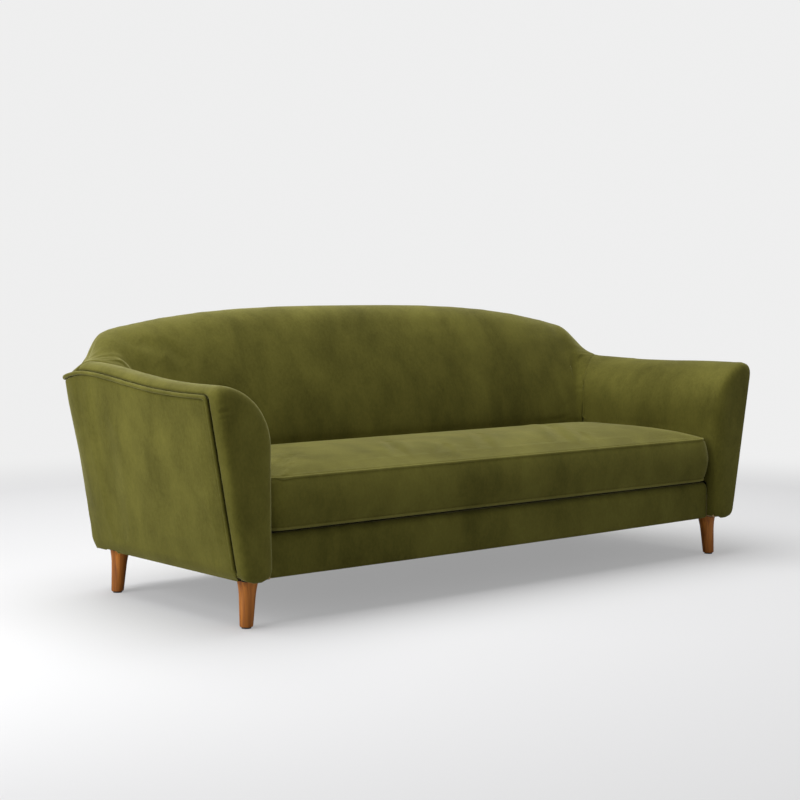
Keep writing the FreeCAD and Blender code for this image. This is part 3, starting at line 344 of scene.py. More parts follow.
# %% Grain pattern shared by all timber
def make_grain_group():
    group, given, result = new_group(
        "long_grain", {"Rings": 55.0, "Stretch": 0.07, "Pores": 500.0},
        {"Grain": "Float", "Streak": "Float", "Height": "Float"})
    place = add_node(group, "TexCoord").outputs["Object"]
    stretch = add_node(group, "CombineXYZ", X=1.0, Y=1.0, Z=given.outputs["Stretch"])
    drawn = add_node(group, "VectorMath", {"operation": "MULTIPLY"})
    group.links.new(place, drawn.inputs[0])
    group.links.new(stretch.outputs[0], drawn.inputs[1])
    rings = add_node(group, "TexNoise", Vector=drawn.outputs[0], Scale=given.outputs["Rings"],
                     Detail=4.0, Roughness=0.6, Distortion=1.2).outputs[0]
    pores = add_node(group, "TexNoise", Vector=drawn.outputs[0], Scale=given.outputs["Pores"],
                     Detail=2.0, Roughness=0.7).outputs[0]
    streak = add_node(group, "TexNoise", Vector=drawn.outputs[0], Scale=18.0, Detail=2.0).outputs[0]
    group.links.new(ranged(group, rings, 0.0, 1.0, 0.32, 0.68), result.inputs["Grain"])
    group.links.new(ranged(group, streak, 0.0, 1.0, 0.35, 0.65), result.inputs["Streak"])
    group.links.new(pores, result.inputs["Height"])
    return group


long_grain = make_grain_group()


def make_wood(name, dark, light, streak, rough, **pattern):
    material, tree, shader = new_material(name)
    grain = place_group(tree, long_grain, **pattern)
    base = mixed(tree, grain.outputs["Grain"], dark, light)
    faint = add_node(tree, "Math", {"operation": "MULTIPLY"})
    tree.links.new(grain.outputs["Streak"], faint.inputs[0])
    faint.inputs[1].default_value = 0.6
    tree.links.new(mixed(tree, faint.outputs[0], base, streak), shader.inputs["Base Color"])
    tree.links.new(ranged(tree, grain.outputs["Grain"], rough + 0.1, rough - 0.06),
                   shader.inputs["Roughness"])
    bump = add_node(tree, "Bump", Strength=0.25, Distance=0.3 * MM, Height=grain.outputs["Height"])
    tree.links.new(bump.outputs[0], shader.inputs["Normal"])
    return material, shader


leg_wood, shader = make_wood("satin_hardwood", (0.2, 0.058, 0.007, 1), (0.62, 0.215, 0.028, 1),
                             (0.34, 0.105, 0.013, 1), 0.45,
                             Rings=70.0, Stretch=0.06, Pores=650.0)
shader.inputs["Specular IOR Level"].default_value = 0.3
shader.inputs["Coat Weight"].default_value = 0.05
shader.inputs["Coat Roughness"].default_value = 0.25
frame_timber, _ = make_wood("sawn_softwood", (0.42, 0.25, 0.11, 1), (0.66, 0.46, 0.25, 1),
                            (0.55, 0.36, 0.18, 1), 0.75,
                            Rings=30.0, Stretch=0.25, Pores=300.0)
print("2 woods")

# %% [markdown]
# Steel and plastic
#
# The leg plates and bolts are zinc plated steel, slightly mottled, and the glides under the legs
# are black moulded plastic with a fine grain.

# %% Steel and plastic
def make_hard(name, dark, light, metallic, rough, patch):
    material, tree, shader = new_material(name)
    place = add_node(tree, "TexCoord").outputs["Object"]
    mottle = add_node(tree, "TexNoise", Vector=place, Scale=patch, Detail=4.0).outputs[0]
    tree.links.new(mixed(tree, mottle, dark, light), shader.inputs["Base Color"])
    tree.links.new(ranged(tree, mottle, rough - 0.1, rough + 0.1), shader.inputs["Roughness"])
    grit = add_node(tree, "TexNoise", Vector=place, Scale=patch * 12).outputs[0]
    bump = add_node(tree, "Bump", Strength=0.15, Distance=0.1 * MM, Height=grit)
    tree.links.new(bump.outputs[0], shader.inputs["Normal"])
    shader.inputs["Metallic"].default_value = metallic
    return material


steel = make_hard("zinc_steel", (0.42, 0.42, 0.43, 1), (0.62, 0.62, 0.63, 1), 1.0, 0.4, 90.0)
glide = make_hard("black_glide", (0.01, 0.01, 0.01, 1), (0.03, 0.03, 0.03, 1), 0.0, 0.5, 120.0)
print("steel and plastic")

# %% [markdown]
# Finishes on the hard pieces
#
# The timber, straps and fittings keep their CAD shape, so they only need the right finish. The
# finish is chosen by what the piece is called.

# %% Finishes on the hard pieces
FINISH_BY_WORD = {"leg_block": ("frame_timber", frame_timber), "bolts": ("steel", steel),
                  "plates": ("steel", steel), "glides": ("glide", glide),
                  "webbing": ("webbing", webbing), "platform": ("felt", felt),
                  "dust_cover": ("dust_cloth", dust_cloth), "core": ("foam", foam)}
SOFT_WORDS = ("pad", "panel", "arm_front", "apron", "cushion_cover")


def finish_for(name):
    for word, finish in FINISH_BY_WORD.items():
        if word in name:
            return finish
    if name.endswith("_leg"):
        return "leg_wood", leg_wood
    soft = name.endswith(SOFT_WORDS)
    return ("velvet", velvet) if soft else ("frame_timber", frame_timber)


for name, node in nodes.items():
    slot, material = finish_for(name)
    node.data.materials.clear()
    node.data.materials.append(material)
print("finishes on", len(nodes), "CAD pieces")

# %% [markdown]
# How a soft piece is made
#
# An upholstered part is a cover pulled over foam and held along its edges. Each one starts as a
# copy of its CAD solid. A voxel remesh turns it into an even net of small squares, a few rounds of
# smoothing take the hard corners off, and a cloth simulation with pressure blows it up a little
# while every part that is stapled, sewn or hidden stays where it is.

# %% Copies and modifiers
MERGE_RANGE = 0.02 * MM


def pick_only(piece):
    """Select one object and make it the active one, so that operators act on it alone."""
    bpy.ops.object.select_all(action="DESELECT")
    piece.select_set(True)
    bpy.context.view_layer.objects.active = piece


def apply_modifier(piece, kind, **settings):
    modifier = piece.modifiers.new(kind.lower(), kind)
    for key, setting in settings.items():
        setattr(modifier, key, setting)
    pick_only(piece)
    bpy.ops.object.modifier_apply(modifier=modifier.name)


def copy_of(name, *names):
    """One new object with the merged meshes of CAD solids."""
    bpy.ops.object.select_all(action="DESELECT")
    for node_name in names:
        made = bpy.data.objects.new(name, nodes[node_name].data.copy())
        bpy.context.collection.objects.link(made)
        made.select_set(True)
        bpy.context.view_layer.objects.active = made
    if len(names) > 1:
        bpy.ops.object.join()
    piece = bpy.context.object
    piece.name = piece.data.name = name
    piece.data.materials.clear()
    piece.data.materials.append(velvet)
    bpy.ops.object.mode_set(mode="EDIT")
    bpy.ops.mesh.select_all(action="SELECT")
    bpy.ops.mesh.remove_doubles(threshold=MERGE_RANGE)
    bpy.ops.object.mode_set(mode="OBJECT")
    return piece


def points_of(piece):
    points = np.empty(len(piece.data.vertices) * 3)
    piece.data.vertices.foreach_get("co", points)
    return points.reshape(-1, 3)


def set_points(piece, points):
    piece.data.vertices.foreach_set("co", np.ascontiguousarray(points).ravel())
    piece.data.update()


def normals_of(piece):
    normals = np.empty(len(piece.data.vertices) * 3)
    piece.data.vertices.foreach_get("normal", normals)
    return normals.reshape(-1, 3)


# %% What holds a cover
HIDDEN_RANGE = 0.2
LIFT_OFF = 2 * MM


def neighbours(*own):
    """A search tree of every CAD solid except a piece's own."""
    points, faces = [], []
    for name, node in nodes.items():
        if name in own:
            continue
        base = len(points)
        points.extend(v.co for v in node.data.vertices)
        faces.extend([base + i for i in p.vertices] for p in node.data.polygons)
    return BVHTree.FromPolygons(points, faces)


def held_share(piece, tree, reach):
    """How firmly each point is held: 1 where it is covered or touches, 0 further than reach."""
    held = np.zeros(len(piece.data.vertices))
    for index, vertex in enumerate(piece.data.vertices):
        start = vertex.co + vertex.normal * LIFT_OFF
        if tree.ray_cast(start, vertex.normal, HIDDEN_RANGE)[0] is not None:
            held[index] = 1.0
            continue
        near = tree.find_nearest(vertex.co, reach)
        if near[0] is not None:
            held[index] = (1 - near[3] / reach) ** 2
    return held


# %% Stuffing
CLOTH_QUALITY = 4
CLOTH_FRAMES = 20


def mark_points(piece, label, shares):
    """A vertex group with a share for each point."""
    group = piece.vertex_groups.new(name=label)
    for index in np.nonzero(shares)[0]:
        group.add([int(index)], float(shares[index]), "REPLACE")
    return group


def stuff(piece, held, pressure, cap):
    """Blow a cover up against what holds it, and keep every point within the cap."""
    before = points_of(piece)
    group = mark_points(piece, "held", held)
    cloth = piece.modifiers.new("stuffing", "CLOTH")
    cloth.settings.quality = CLOTH_QUALITY
    cloth.settings.use_pressure = True
    cloth.settings.uniform_pressure_force = pressure
    cloth.settings.vertex_group_mass = group.name
    cloth.settings.effector_weights.gravity = 0
    scene = bpy.context.scene
    for frame_number in range(1, CLOTH_FRAMES + 1):
        scene.frame_set(frame_number)
    pick_only(piece)
    bpy.ops.object.modifier_apply(modifier=cloth.name)
    scene.frame_set(1)
    moved = points_of(piece) - before
    length = np.linalg.norm(moved, axis=1, keepdims=True)
    set_points(piece, before + moved / (1 + length / cap))
    piece.vertex_groups.clear()
    print(piece.name, "moved up to", round(float(length.max()) / MM, 1), "mm before the cap")


# %% From solid to cover
SEAM_REACH = 30 * MM
RELAX_ROUNDS = 3
FOLD_STEPS = 40
FLANK_HEIGHT, FLANK_PLACE = 0.6, 1.9
HEM_LEVEL = 0.127


def drop_slivers(piece):
    """Delete the loose slivers that a remesh leaves at a thin edge."""
    bpy.ops.object.mode_set(mode="EDIT")
    bpy.ops.mesh.select_mode(type="VERT")
    bpy.ops.mesh.select_all(action="DESELECT")
    bpy.ops.object.mode_set(mode="OBJECT")
    piece.data.vertices[int(points_of(piece)[:, 2].argmax())].select = True
    bpy.ops.object.mode_set(mode="EDIT")
    bpy.ops.mesh.select_linked()
    bpy.ops.mesh.select_all(action="INVERT")
    bpy.ops.mesh.delete(type="VERT")
    bpy.ops.object.mode_set(mode="OBJECT")


def netted(piece, tree, voxel, smoothing, hem=0.0):
    """Remesh a copy, smooth it, and bring its seams back to the lines of the solid.

    The copy is half a voxel too big while it is remeshed, so its thin edges aren't lost.
    A hem is the height of the lower edge that is stapled under the frame.
    """
    form = bpy.data.objects.new(piece.name + "_form", piece.data.copy())
    bpy.context.collection.objects.link(form)
    apply_modifier(piece, "DISPLACE", strength=voxel / 2, mid_level=0)
    apply_modifier(piece, "REMESH", mode="VOXEL", voxel_size=voxel, use_smooth_shade=True)
    apply_modifier(piece, "DISPLACE", strength=-voxel / 2, mid_level=0)
    drop_slivers(piece)
    seam = np.sqrt(held_share(piece, tree, SEAM_REACH))
    if hem:
        height = points_of(piece)[:, 2]
        seam = np.maximum(seam, np.clip(2 - (height - height.min()) / hem, 0, 1))
    mark_points(piece, "seam", seam)
    apply_modifier(piece, "SMOOTH", factor=0.5, iterations=smoothing)
    apply_modifier(piece, "SHRINKWRAP", target=form, wrap_method="NEAREST_SURFACEPOINT",
                   vertex_group="seam")
    apply_modifier(piece, "SMOOTH", factor=0.5, iterations=RELAX_ROUNDS)
    piece.vertex_groups.clear()
    bpy.data.objects.remove(form)
    if hem:
        points = points_of(piece)
        lowest = points[:, 2].min()
        points[:, 2] -= (lowest - HEM_LEVEL) * np.clip(2 - (points[:, 2] - lowest) / hem, 0, 1)
        set_points(piece, points)


def swell(piece, held, height):
    """Raise a tight cover a little between its seams."""
    lift = height * (1 - held) ** 2
    set_points(piece, points_of(piece) + normals_of(piece) * lift[:, None])


def press_fold(piece, path, width, depth):
    """Press a crease with raised flanks into a cover, along a line laid on its surface."""
    corners = np.array(path)
    steps = np.linspace(0, len(corners) - 1, FOLD_STEPS)
    line = np.stack([np.interp(steps, range(len(corners)), corners[:, i]) for i in range(3)], 1)
    line = np.array([piece.closest_point_on_mesh(place)[1] for place in line])
    points = points_of(piece)
    gaps = np.linalg.norm(points[:, None] - line[None], axis=2)
    gap, share = gaps.min(axis=1), gaps.argmin(axis=1) / (FOLD_STEPS - 1)
    flank = np.exp(-((gap - FLANK_PLACE * width) / width) ** 2)
    crease = np.exp(-(gap / width) ** 2) - FLANK_HEIGHT * flank
    depths = depth * crease * np.sqrt(np.sin(math.pi * np.clip(share, 0, 1)).clip(0))
    set_points(piece, points - normals_of(piece) * depths[:, None])


def settle(piece, body, fill, *names):
    """Attach a finished cover to the body it rides on, and hide the CAD solids it stands for."""
    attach(piece, body)
    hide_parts(*names)
    print(piece.name, "has", len(piece.data.polygons), "faces")


# %% [markdown]
# Arms
#
# Each arm is one cover that runs over the rolled top, down the inside and round the front, with no
# seam between. So the CAD pad and the CAD arm front are joined before the remesh.

# %% Arms
MIRROR = {"left": -1, "right": 1}
HEM = 20 * MM
ARM_VOXEL, ARM_SMOOTHING = 8 * MM, 16
ARM_HOLD, ARM_PRESSURE, ARM_CAP, ARM_FILL = 60 * MM, 3.0, 5 * MM, 0.8
# Each crease: the points it runs through, its width and its depth in millimetres
ARM_FOLDS = {"left": [([(-1.066, -0.425, 0.576), (-1.036, -0.43, 0.585)], 5, 3.5),
                      ([(-1.064, -0.425, 0.561), (-1.042, -0.43, 0.569)], 5, 2.5)],
             "right": [([(0.93, 0.05, 0.523), (0.93, 0.016, 0.534), (0.93, -0.05, 0.544)], 9, 3)]}

arms = {}
for side in MIRROR:
    solids = (f"{side}_arm_pad", f"{side}_arm_front")
    arm = copy_of(f"{side}_arm_cover", *solids)
    tree = neighbours(*solids)
    netted(arm, tree, ARM_VOXEL, ARM_SMOOTHING, HEM)
    stuff(arm, held_share(arm, tree, ARM_HOLD), ARM_PRESSURE, ARM_CAP)
    apply_modifier(arm, "SUBSURF", levels=1, render_levels=1)
    for path, width, depth in ARM_FOLDS[side]:
        press_fold(arm, path, width * MM, depth * MM)
    settle(arm, "sofa", ARM_FILL, *solids)
    arms[side] = arm

# %% [markdown]
# Back
#
# The inside back is one long pad, arched along its top and turned forward at both shoulders.

# %% Back
BACK_VOXEL, BACK_SMOOTHING = 8 * MM, 12
BACK_HOLD, BACK_PRESSURE, BACK_CAP, BACK_FILL = 70 * MM, 3.0, 6 * MM, 0.8
BACK_FOLDS = [([(-0.857, 0.3, 0.744), (-0.79, 0.3, 0.678)], 22, 3),
              ([(-0.8, 0.3, 0.74), (-0.72, 0.3, 0.65)], 20, 2.5)]

back = copy_of("back_cover", "back_pad")
tree = neighbours("back_pad")
netted(back, tree, BACK_VOXEL, BACK_SMOOTHING)
stuff(back, held_share(back, tree, BACK_HOLD), BACK_PRESSURE, BACK_CAP)
apply_modifier(back, "SUBSURF", levels=1, render_levels=1)
for path, width, depth in BACK_FOLDS:
    press_fold(back, path, width * MM, depth * MM)
settle(back, "sofa", BACK_FILL, "back_pad")

# %% [markdown]
# Outer panels, outside back and apron
#
# These covers are pulled tight over boards and rails, so they rise only a little between their
# seams, and a simple lift along the surface's own direction does the work of the stuffing. The
# upper edge of the apron is rounded back, so that the cushion overhangs it with a dark gap between.

# %% Tight covers
# Each cover: the solid it stands for, the size of its net and its lift in millimetres
TIGHT_COVERS = {"left_side_cover": ("left_outer_panel", 5, 4),
                "right_side_cover": ("right_outer_panel", 5, 4),
                "outside_back_cover": ("outside_back_panel", 6, 3),
                "apron_cover": ("front_apron", 6, 2)}
TIGHT_SMOOTHING, TIGHT_HOLD, TIGHT_FILL = 6, 90 * MM, 0.9
APRON_EASE, APRON_DROP = 13 * MM, 24 * MM


def eased_top(piece, depth, drop):
    """Round the upper front edge of a cover back, and leave its rear where it is."""
    points = points_of(piece)
    front, rear = points[:, 1].min(), points[:, 1].max()
    share = np.clip((points[:, 2] - points[:, 2].max()) / drop + 1, 0, 1) ** 2
    points[:, 1] += depth * share * (rear - points[:, 1]) / (rear - front)
    set_points(piece, points)


tight = {}
for name, (solid, voxel, lift) in TIGHT_COVERS.items():
    cover = copy_of(name, solid)
    tree = neighbours(solid)
    netted(cover, tree, voxel * MM, TIGHT_SMOOTHING, HEM)
    swell(cover, held_share(cover, tree, TIGHT_HOLD), lift * MM)
    settle(cover, "sofa", TIGHT_FILL, solid)
    tight[name] = cover
eased_top(tight["apron_cover"], APRON_EASE, APRON_DROP)

# %% [markdown]
# Shoulders
#
# No two arms are upholstered quite alike. The top of the left arm rises towards the back, and the
# right one is level. Where the back comes down behind the left arm there is a hollow: the back
# drops steeply, and the top of the arm runs on behind it as a low shelf. The covers that meet there
# are moved together: up or down along the arm, and down in the middle of the turn. First, the edges
# of arm and back are drawn into each other over the top, so that no groove is left between them.

# %% Closing the seam over the top
JOINT_PLACE, JOINT_ACROSS = (0.943, 0.208), (-0.5, 0.866)
JOINT_REACH, JOINT_OVERLAP = 16 * MM, 6 * MM
JOINT_LEVEL, JOINT_RISE = 0.57, 0.04
NEAR_ARM = 0.5


def drawn_in(piece, side, towards):
    """Draw the edge of an arm or of the back across the joint between them."""
    points, mirror = points_of(piece), MIRROR[side]
    gap = ((points[:, 0] * mirror - JOINT_PLACE[0]) * JOINT_ACROSS[0]
           + (points[:, 1] - JOINT_PLACE[1]) * JOINT_ACROSS[1])
    share = np.clip(1 - abs(gap) / JOINT_REACH, 0, 1) * (points[:, 0] * mirror > NEAR_ARM)
    share *= JOINT_OVERLAP * towards * np.clip((points[:, 2] - JOINT_LEVEL) / JOINT_RISE, 0, 1)
    points[:, 0] += share * JOINT_ACROSS[0] * mirror
    points[:, 1] += share * JOINT_ACROSS[1]
    set_points(piece, points)


for side in MIRROR:
    drawn_in(arms[side], side, 1)
    drawn_in(back, side, -1)
print("edges of arms and back overlap by up to", 2 * JOINT_OVERLAP)

# %% Shoulders
CORNER_CENTRE = (0.895, 0.2425)
# Rise of the arm's rear, depth of the hollow, and the height where the rise starts and its range
SHOULDERS = {"left": (24 * MM, 32 * MM, 0.42, 0.18), "right": (-12 * MM, 0.0, 0.54, 0.1)}
HOLLOW_TURN, HOLLOW_SPREAD, TURN_PER_REACH = 48.0, 20.0, 400.0
HOLLOW_REACH, HOLLOW_WIDTH, RIM_WIDTH = 0.165, 0.045, 0.05
HOLLOW_LEVEL, HOLLOW_RISE = 0.57, 0.1
RISE_START, RISE_END = -0.3, 60.0


def shouldered(piece, side):
    """Raise or lower the rear of an arm, and press its covers down round the corner."""
    arm_rise, hollow_depth, rise_level, rise_height = SHOULDERS[side]
    points, mirror = points_of(piece), MIRROR[side]
    across, along = points[:, 0] * mirror - CORNER_CENTRE[0], points[:, 1] - CORNER_CENTRE[1]
    outwards = np.hypot(across, along) - HOLLOW_REACH
    turn = np.degrees(np.arctan2(along, across)) - outwards.clip(0, RIM_WIDTH) * TURN_PER_REACH
    share = np.exp(-((turn - HOLLOW_TURN) / HOLLOW_SPREAD) ** 2
                   - (outwards.clip(None, 0) / HOLLOW_WIDTH) ** 2)
    share *= np.clip((points[:, 2] - HOLLOW_LEVEL) / HOLLOW_RISE, 0, 1)
    run = np.clip((points[:, 1] - RISE_START) / (CORNER_CENTRE[1] - RISE_START), 0, 1)
    bend = np.degrees(np.arctan2(along.clip(0), across)) / RISE_END
    rise = run ** 2 * (3 - 2 * run) * np.cos(np.clip(bend, 0, 1) * math.pi / 2) ** 2
    rise *= np.clip((points[:, 2] - rise_level) / rise_height, 0, 1)
    points[:, 2] += arm_rise * rise - hollow_depth * share
    set_points(piece, points)


for side in MIRROR:
    for piece in (arms[side], back, tight[f"{side}_side_cover"], tight["outside_back_cover"]):
        shouldered(piece, side)
print("rear of the arms raised and shoulders pressed down by", SHOULDERS)

# %% [markdown]
# Seat cushion
#
# The loose bench cushion is a boxed foam slab with a crowned top. Its CAD cover is a hollow skin,
# so the copy is split into its loose shells and only the outer one is stuffed.

# %% Seat cushion
CUSHION_VOXEL, CUSHION_SMOOTHING = 10 * MM, 6
CUSHION_HOLD, CUSHION_PRESSURE, CUSHION_CAP, CUSHION_FILL = 30 * MM, 6.0, 16 * MM, 0.75


def outer_shell(piece):
    """Keep the widest loose shell of a mesh."""
    name = piece.name
    bpy.ops.object.mode_set(mode="EDIT")
    bpy.ops.mesh.select_all(action="SELECT")
    bpy.ops.mesh.separate(type="LOOSE")
    bpy.ops.object.mode_set(mode="OBJECT")
    shells = sorted(bpy.context.selected_objects, key=lambda shell: shell.dimensions.x)
    for shell in shells[:-1]:
        bpy.data.objects.remove(shell)
    shells[-1].name = shells[-1].data.name = name
    return shells[-1]


def clear_of(piece, inner, gap):
    """Push every point of a cover out until it clears the filling by a gap."""
    tree = BVHTree.FromPolygons([v.co for v in inner.data.vertices],
                                [p.vertices for p in inner.data.polygons])
    for vertex in piece.data.vertices:
        place, normal, _, _ = tree.find_nearest(vertex.co)
        short = gap - (vertex.co - place).dot(normal)
        if short > 0:
            vertex.co += normal * short
    piece.data.update()


SKIN = 1.5 * MM
CUSHION_SEAMS = {"cushion_top_welt": 0.392, "cushion_lower_welt": 0.259}
SEAM_BAND = 9 * MM
BOXING_BULGE = 9 * MM
CUSHION_FOLDS = [([(-0.3, -0.17, 0.44), (-0.4, -0.36, 0.43)], 18, 4),
                 ([(-0.15, -0.26, 0.44), (-0.27, -0.39, 0.42)], 16, 4),
                 ([(0.08, -0.15, 0.44), (-0.08, -0.37, 0.43)], 18, 4),
                 ([(0.52, 0.01, 0.44), (0.38, -0.19, 0.44), (0.25, -0.36, 0.43)], 20, 5),
                 ([(0.43, -0.26, 0.44), (0.33, -0.385, 0.42)], 14, 3),
                 ([(-0.89, -0.39, 0.41), (-0.7, -0.24, 0.44)], 14, 5),
                 ([(-0.885, -0.4, 0.41), (-0.77, -0.33, 0.43)], 9, 3)]

seat = outer_shell(copy_of("seat_cushion", "seat_cushion_cover"))
tree = neighbours("seat_cushion_cover", "seat_cushion_core")
netted(seat, tree, CUSHION_VOXEL, CUSHION_SMOOTHING)
held = held_share(seat, tree, CUSHION_HOLD)
for height in CUSHION_SEAMS.values():
    held = np.maximum(held, 1 - abs(points_of(seat)[:, 2] - height) / SEAM_BAND)
stuff(seat, held, CUSHION_PRESSURE, CUSHION_CAP)
apply_modifier(seat, "SUBSURF", levels=1, render_levels=1)
seams = np.array(list(CUSHION_SEAMS.values()))
up = (points_of(seat)[:, 2] - seams.mean()) / (seams[0] - seams[1]) * 2
swell(seat, 1 - np.sqrt(np.clip(1 - up ** 2, 0, 1)), BOXING_BULGE)
for path, width, depth in CUSHION_FOLDS:
    press_fold(seat, path, width * MM, depth * MM)
settle(seat, "seat_cushion", CUSHION_FILL, "seat_cushion_cover")

# %% [markdown]
# Welts on the outer panels
#
# A welt is a cord wrapped in a strip of the velvet and sewn into the seam. On each outer panel it
# runs up the front edge, round the corner, along the top and down the rear. The edge of the CAD
# panel gives the line: those edges are picked out of a copy, made a curve and given thickness.

# %% Welts on the outer panels
WELT_RADIUS = 5.5 * MM
WELT_REACH = 14 * MM
WELT_SINK = 6 * MM
CORD_STEP = 4 * MM
CORD_SOFTENING = 16
FAR_RANGE = 0.4
LYING_FLAT = 0.7
WELT_BOTTOM = 0.14


def tube_from_edges(piece, radius, cloth):
    """Turn an object that holds only edges into a round cord in a cloth."""
    pick_only(piece)
    bpy.ops.object.convert(target="CURVE")
    piece.data.bevel_depth = radius
    piece.data.bevel_resolution = 3
    piece.data.use_fill_caps = True
    bpy.ops.object.convert(target="MESH")
    piece = bpy.context.object
    piece.data.materials.clear()
    piece.data.materials.append(cloth)
    bpy.ops.object.shade_smooth()
    return piece


def sink_under(cord, covers, reach, depth):
    """Press covers in beside a cord that is still an object of edges."""
    tree = KDTree(len(cord.data.vertices))
    for vertex in cord.data.vertices:
        tree.insert(vertex.co, vertex.index)
    tree.balance()
    for cover in covers:
        gap = np.array([tree.find(v.co)[2] for v in cover.data.vertices])
        press = depth * np.clip(1 - (gap / reach) ** 2, 0, 1) ** 2
        set_points(cover, points_of(cover) - normals_of(cover) * press[:, None])


def evened(piece, softening):
    """Lay the longest chain of an object's edges out again in even steps, with soft corners."""
    links = {}
    for edge in piece.data.edges:
        for start, end in (edge.vertices, reversed(edge.vertices)):
            links.setdefault(start, []).append(end)
    chains = []
    for end in sorted(links):
        if len(links[end]) > 1 or any(end in chain for chain in chains):
            continue
        chain = [end]
        while onward := [index for index in links[chain[-1]] if index not in chain]:
            chain.append(onward[0])
        chains.append(chain)
    places = np.array([piece.data.vertices[index].co for index in max(chains, key=len)])
    runs = np.append(0, np.cumsum(np.linalg.norm(np.diff(places, axis=0), axis=1)))
    steps = np.linspace(0, runs[-1], int(runs[-1] / CORD_STEP))
    line = np.stack([np.interp(steps, runs, places[:, axis]) for axis in range(3)], axis=1)
    for _ in range(softening):
        line[1:-1] = line[1:-1] / 2 + (line[:-2] + line[2:]) / 4
    piece.data.clear_geometry()
    piece.data.from_pydata(line.tolist(), [(i, i + 1) for i in range(len(line) - 1)], [])
    print(piece.name, "is", round(float(runs[-1]), 3), "long, chains", len(chains))


def seen_outline(name, solid, wanted):
    """The wanted part of the outline of what is seen of a solid, as an object of edges."""
    piece = copy_of(name, solid)
    tree = neighbours(solid)
    mesh = piece.data
    shown = [tree.ray_cast(face.center + face.normal * LIFT_OFF, face.normal, FAR_RANGE)[0] is None
             and abs(face.normal.z) < LYING_FLAT for face in mesh.polygons]
    faces_at = {}
    for face in mesh.polygons:
        for key in face.edge_keys:
            faces_at.setdefault(key, []).append(shown[face.index])
    chosen = {key for key, sides in faces_at.items() if sorted(sides) == [False, True]
              and all(wanted(mesh.vertices[i].co) for i in key)}
    bpy.ops.object.mode_set(mode="EDIT")
    bpy.ops.mesh.select_mode(type="EDGE")
    bpy.ops.mesh.select_all(action="DESELECT")
    bpy.ops.object.mode_set(mode="OBJECT")
    for edge in mesh.edges:
        edge.select = tuple(sorted(edge.vertices)) in chosen
    bpy.ops.object.mode_set(mode="EDIT")
    bpy.ops.mesh.select_all(action="INVERT")
    bpy.ops.mesh.delete(type="EDGE_FACE")
    bpy.ops.mesh.select_all(action="SELECT")
    bpy.ops.mesh.delete_loose(use_verts=True, use_edges=False, use_faces=False)
    bpy.ops.object.mode_set(mode="OBJECT")
    evened(piece, CORD_SOFTENING)
    return piece


for side in MIRROR:
    cord = seen_outline(f"{side}_side_welt", f"{side}_outer_panel",
                        lambda place: place.z > WELT_BOTTOM)
    shouldered(cord, side)
    covers = [arms[side], back, tight[f"{side}_side_cover"], tight["outside_back_cover"]]
    sink_under(cord, covers, WELT_REACH, WELT_SINK)
    welt = tube_from_edges(cord, WELT_RADIUS, velvet)
    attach(welt, "sofa")

# %% [markdown]
# Seams between arms and back
#
# The arm covers are sewn to the back cover. There is no cord in this seam, only a fine line where
# the two edges are turned in, so a thin strip of velvet lies just below the surface.

# %% Seams between arms and back
SEAM_RADIUS = 4 * MM
SEAM_DEPTH = 3 * MM
SEAM_FRONT, SEAM_LOW, SEAM_HIGH = 0.15, 0.4, 0.61
SEAT_MIDDLE = (0, 0.4, 0.8)

for side in MIRROR:
    seam = seen_outline(f"{side}_back_seam", f"{side}_arm_pad",
                        lambda place: place.y > SEAM_FRONT and SEAM_LOW < place.z < SEAM_HIGH)
    points = points_of(seam)
    inward = np.array(SEAT_MIDDLE) - points
    points -= inward / np.linalg.norm(inward, axis=1, keepdims=True) * SEAM_DEPTH
    set_points(seam, points)
    shouldered(seam, side)
    seam = tube_from_edges(seam, SEAM_RADIUS, velvet)
    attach(seam, "sofa")

# %% [markdown]
# Welts on the cushion
#
# The cushion has a welt round its top seam and another close to its lower edge. A flat cut through
# the stuffed cushion at the height of the seam gives exactly the line that the cord has to follow.

# %% Welts on the cushion
CUSHION_WELT_RADIUS = 4 * MM
CUSHION_WELT_REACH = 12 * MM
CUSHION_WELT_SINK = 2 * MM

for name, height in CUSHION_SEAMS.items():
    cut = bpy.data.objects.new(name, seat.data.copy())
    bpy.context.collection.objects.link(cut)
    pick_only(cut)
    bpy.ops.object.mode_set(mode="EDIT")
    bpy.ops.mesh.select_all(action="SELECT")
    bpy.ops.mesh.bisect(plane_co=(0, 0, height), plane_no=(0, 0, 1),
                        clear_inner=True, clear_outer=True)
    bpy.ops.object.mode_set(mode="OBJECT")
    sink_under(cut, [seat], CUSHION_WELT_REACH, CUSHION_WELT_SINK)
    # The cushion welts take the lighter velvet, whose extra brightness is a painted highlight.
    welt = tube_from_edges(cut, CUSHION_WELT_RADIUS, welt_velvet_painted_highlight)
    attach(welt, "seat_cushion")
    print(name, "has", len(welt.data.polygons), "faces")
clear_of(seat, nodes["seat_cushion_core"], SKIN)

# %% [markdown]
# Legs
#
# The legs are turned on a lathe: a straight taper that flares out below the frame, with the edge of
# the foot eased. One leg is drawn up from a circle, ring by ring, and copied to the four corners,
# where each copy leans outwards between the two ends of its CAD leg.

# %% One turned leg
LEG_SIDES = 64
LEG_RINGS = 24
NECK_SHARE = 0.6
NECK_RADIUS = 22 * MM
FOOT_EASE = 2.5 * MM
LEVEL_RANGE = 0.1 * MM
SMOOTH_ANGLE = math.radians(40)


def leg_ends(node):
    """The centre and radius of a leg at its foot and at its top."""
    points, ends = points_of(node), []
    for level in (points[:, 2].min(), points[:, 2].max()):
        ring = points[abs(points[:, 2] - level) < LEVEL_RANGE]
        low, high = ring.min(axis=0), ring.max(axis=0)
        ends.append(((low + high) / 2, (high[0] - low[0]) / 2))
    return ends


(foot, foot_radius), (top, top_radius) = leg_ends(nodes["front_left_leg"])
leg_height = top[2] - foot[2]


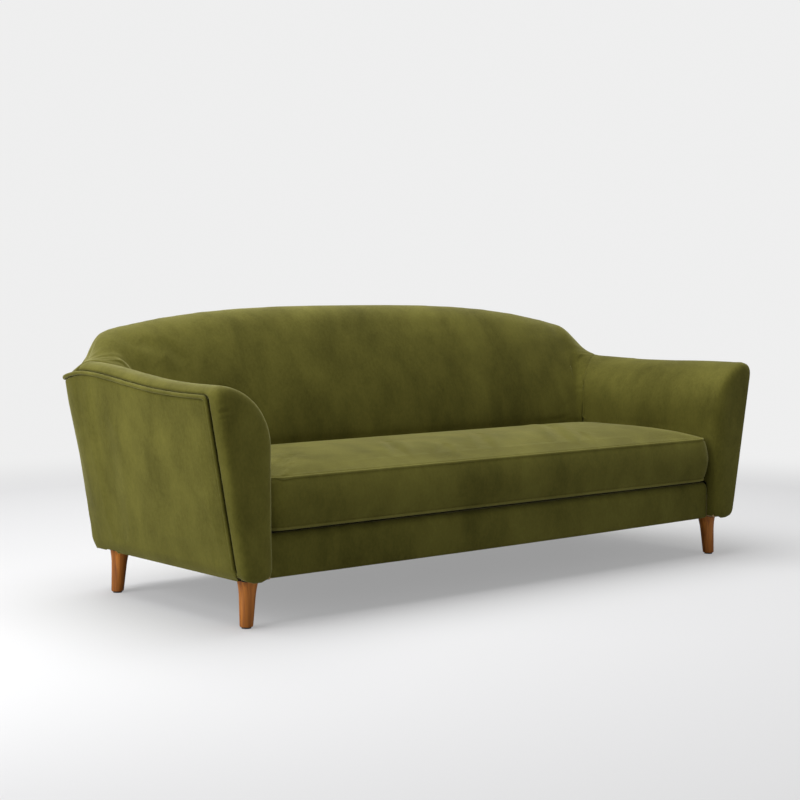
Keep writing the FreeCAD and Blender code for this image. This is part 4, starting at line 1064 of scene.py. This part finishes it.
def leg_radius(share):
    """The radius of the leg at a share of its height."""
    taper = foot_radius + (NECK_RADIUS - foot_radius) * share / NECK_SHARE
    flare = max(share - NECK_SHARE, 0) / (1 - NECK_SHARE)
    straight_top = foot_radius + (NECK_RADIUS - foot_radius) / NECK_SHARE
    return taper + (top_radius - straight_top) * flare ** 2


bpy.ops.object.select_all(action="DESELECT")
bpy.ops.mesh.primitive_circle_add(vertices=LEG_SIDES, radius=foot_radius, fill_type="NGON")
turned_leg = bpy.context.object
bpy.ops.object.mode_set(mode="EDIT")
for ring in range(1, LEG_RINGS + 1):
    grow = leg_radius(ring / LEG_RINGS) / leg_radius((ring - 1) / LEG_RINGS)
    bpy.ops.mesh.extrude_region_move(
        TRANSFORM_OT_translate={"value": (0, 0, leg_height / LEG_RINGS)})
    bpy.ops.transform.resize(value=(grow, grow, 1), center_override=(0, 0, 0))
bpy.ops.mesh.select_all(action="SELECT")
bpy.ops.mesh.normals_make_consistent(inside=False)
bpy.ops.object.mode_set(mode="OBJECT")
for edge in turned_leg.data.edges:
    edge.select = all(turned_leg.data.vertices[i].co.z < LEVEL_RANGE for i in edge.vertices)
bpy.ops.object.mode_set(mode="EDIT")
bpy.ops.mesh.select_mode(type="EDGE")
bpy.ops.mesh.bevel(offset=FOOT_EASE, segments=3)
bpy.ops.object.mode_set(mode="OBJECT")
bpy.ops.object.shade_smooth_by_angle(angle=SMOOTH_ANGLE)
turned_leg.data.materials.append(leg_wood)
print("leg", round(leg_height, 3), "high, faces", len(turned_leg.data.polygons))

# %% Four legs
for corner in ("front_left", "front_right", "rear_left", "rear_right"):
    (foot, _), (top, _) = leg_ends(nodes[corner + "_leg"])
    leg = bpy.data.objects.new(corner + "_turned_leg", turned_leg.data.copy())
    bpy.context.collection.objects.link(leg)
    points = points_of(leg)
    rise = points[:, 2:] / leg_height
    set_points(leg, np.hstack([points[:, :2], np.zeros_like(rise)]) + foot + (top - foot) * rise)
    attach(leg, "sofa")
    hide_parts(corner + "_leg")
bpy.data.objects.remove(turned_leg)
print("4 legs placed")
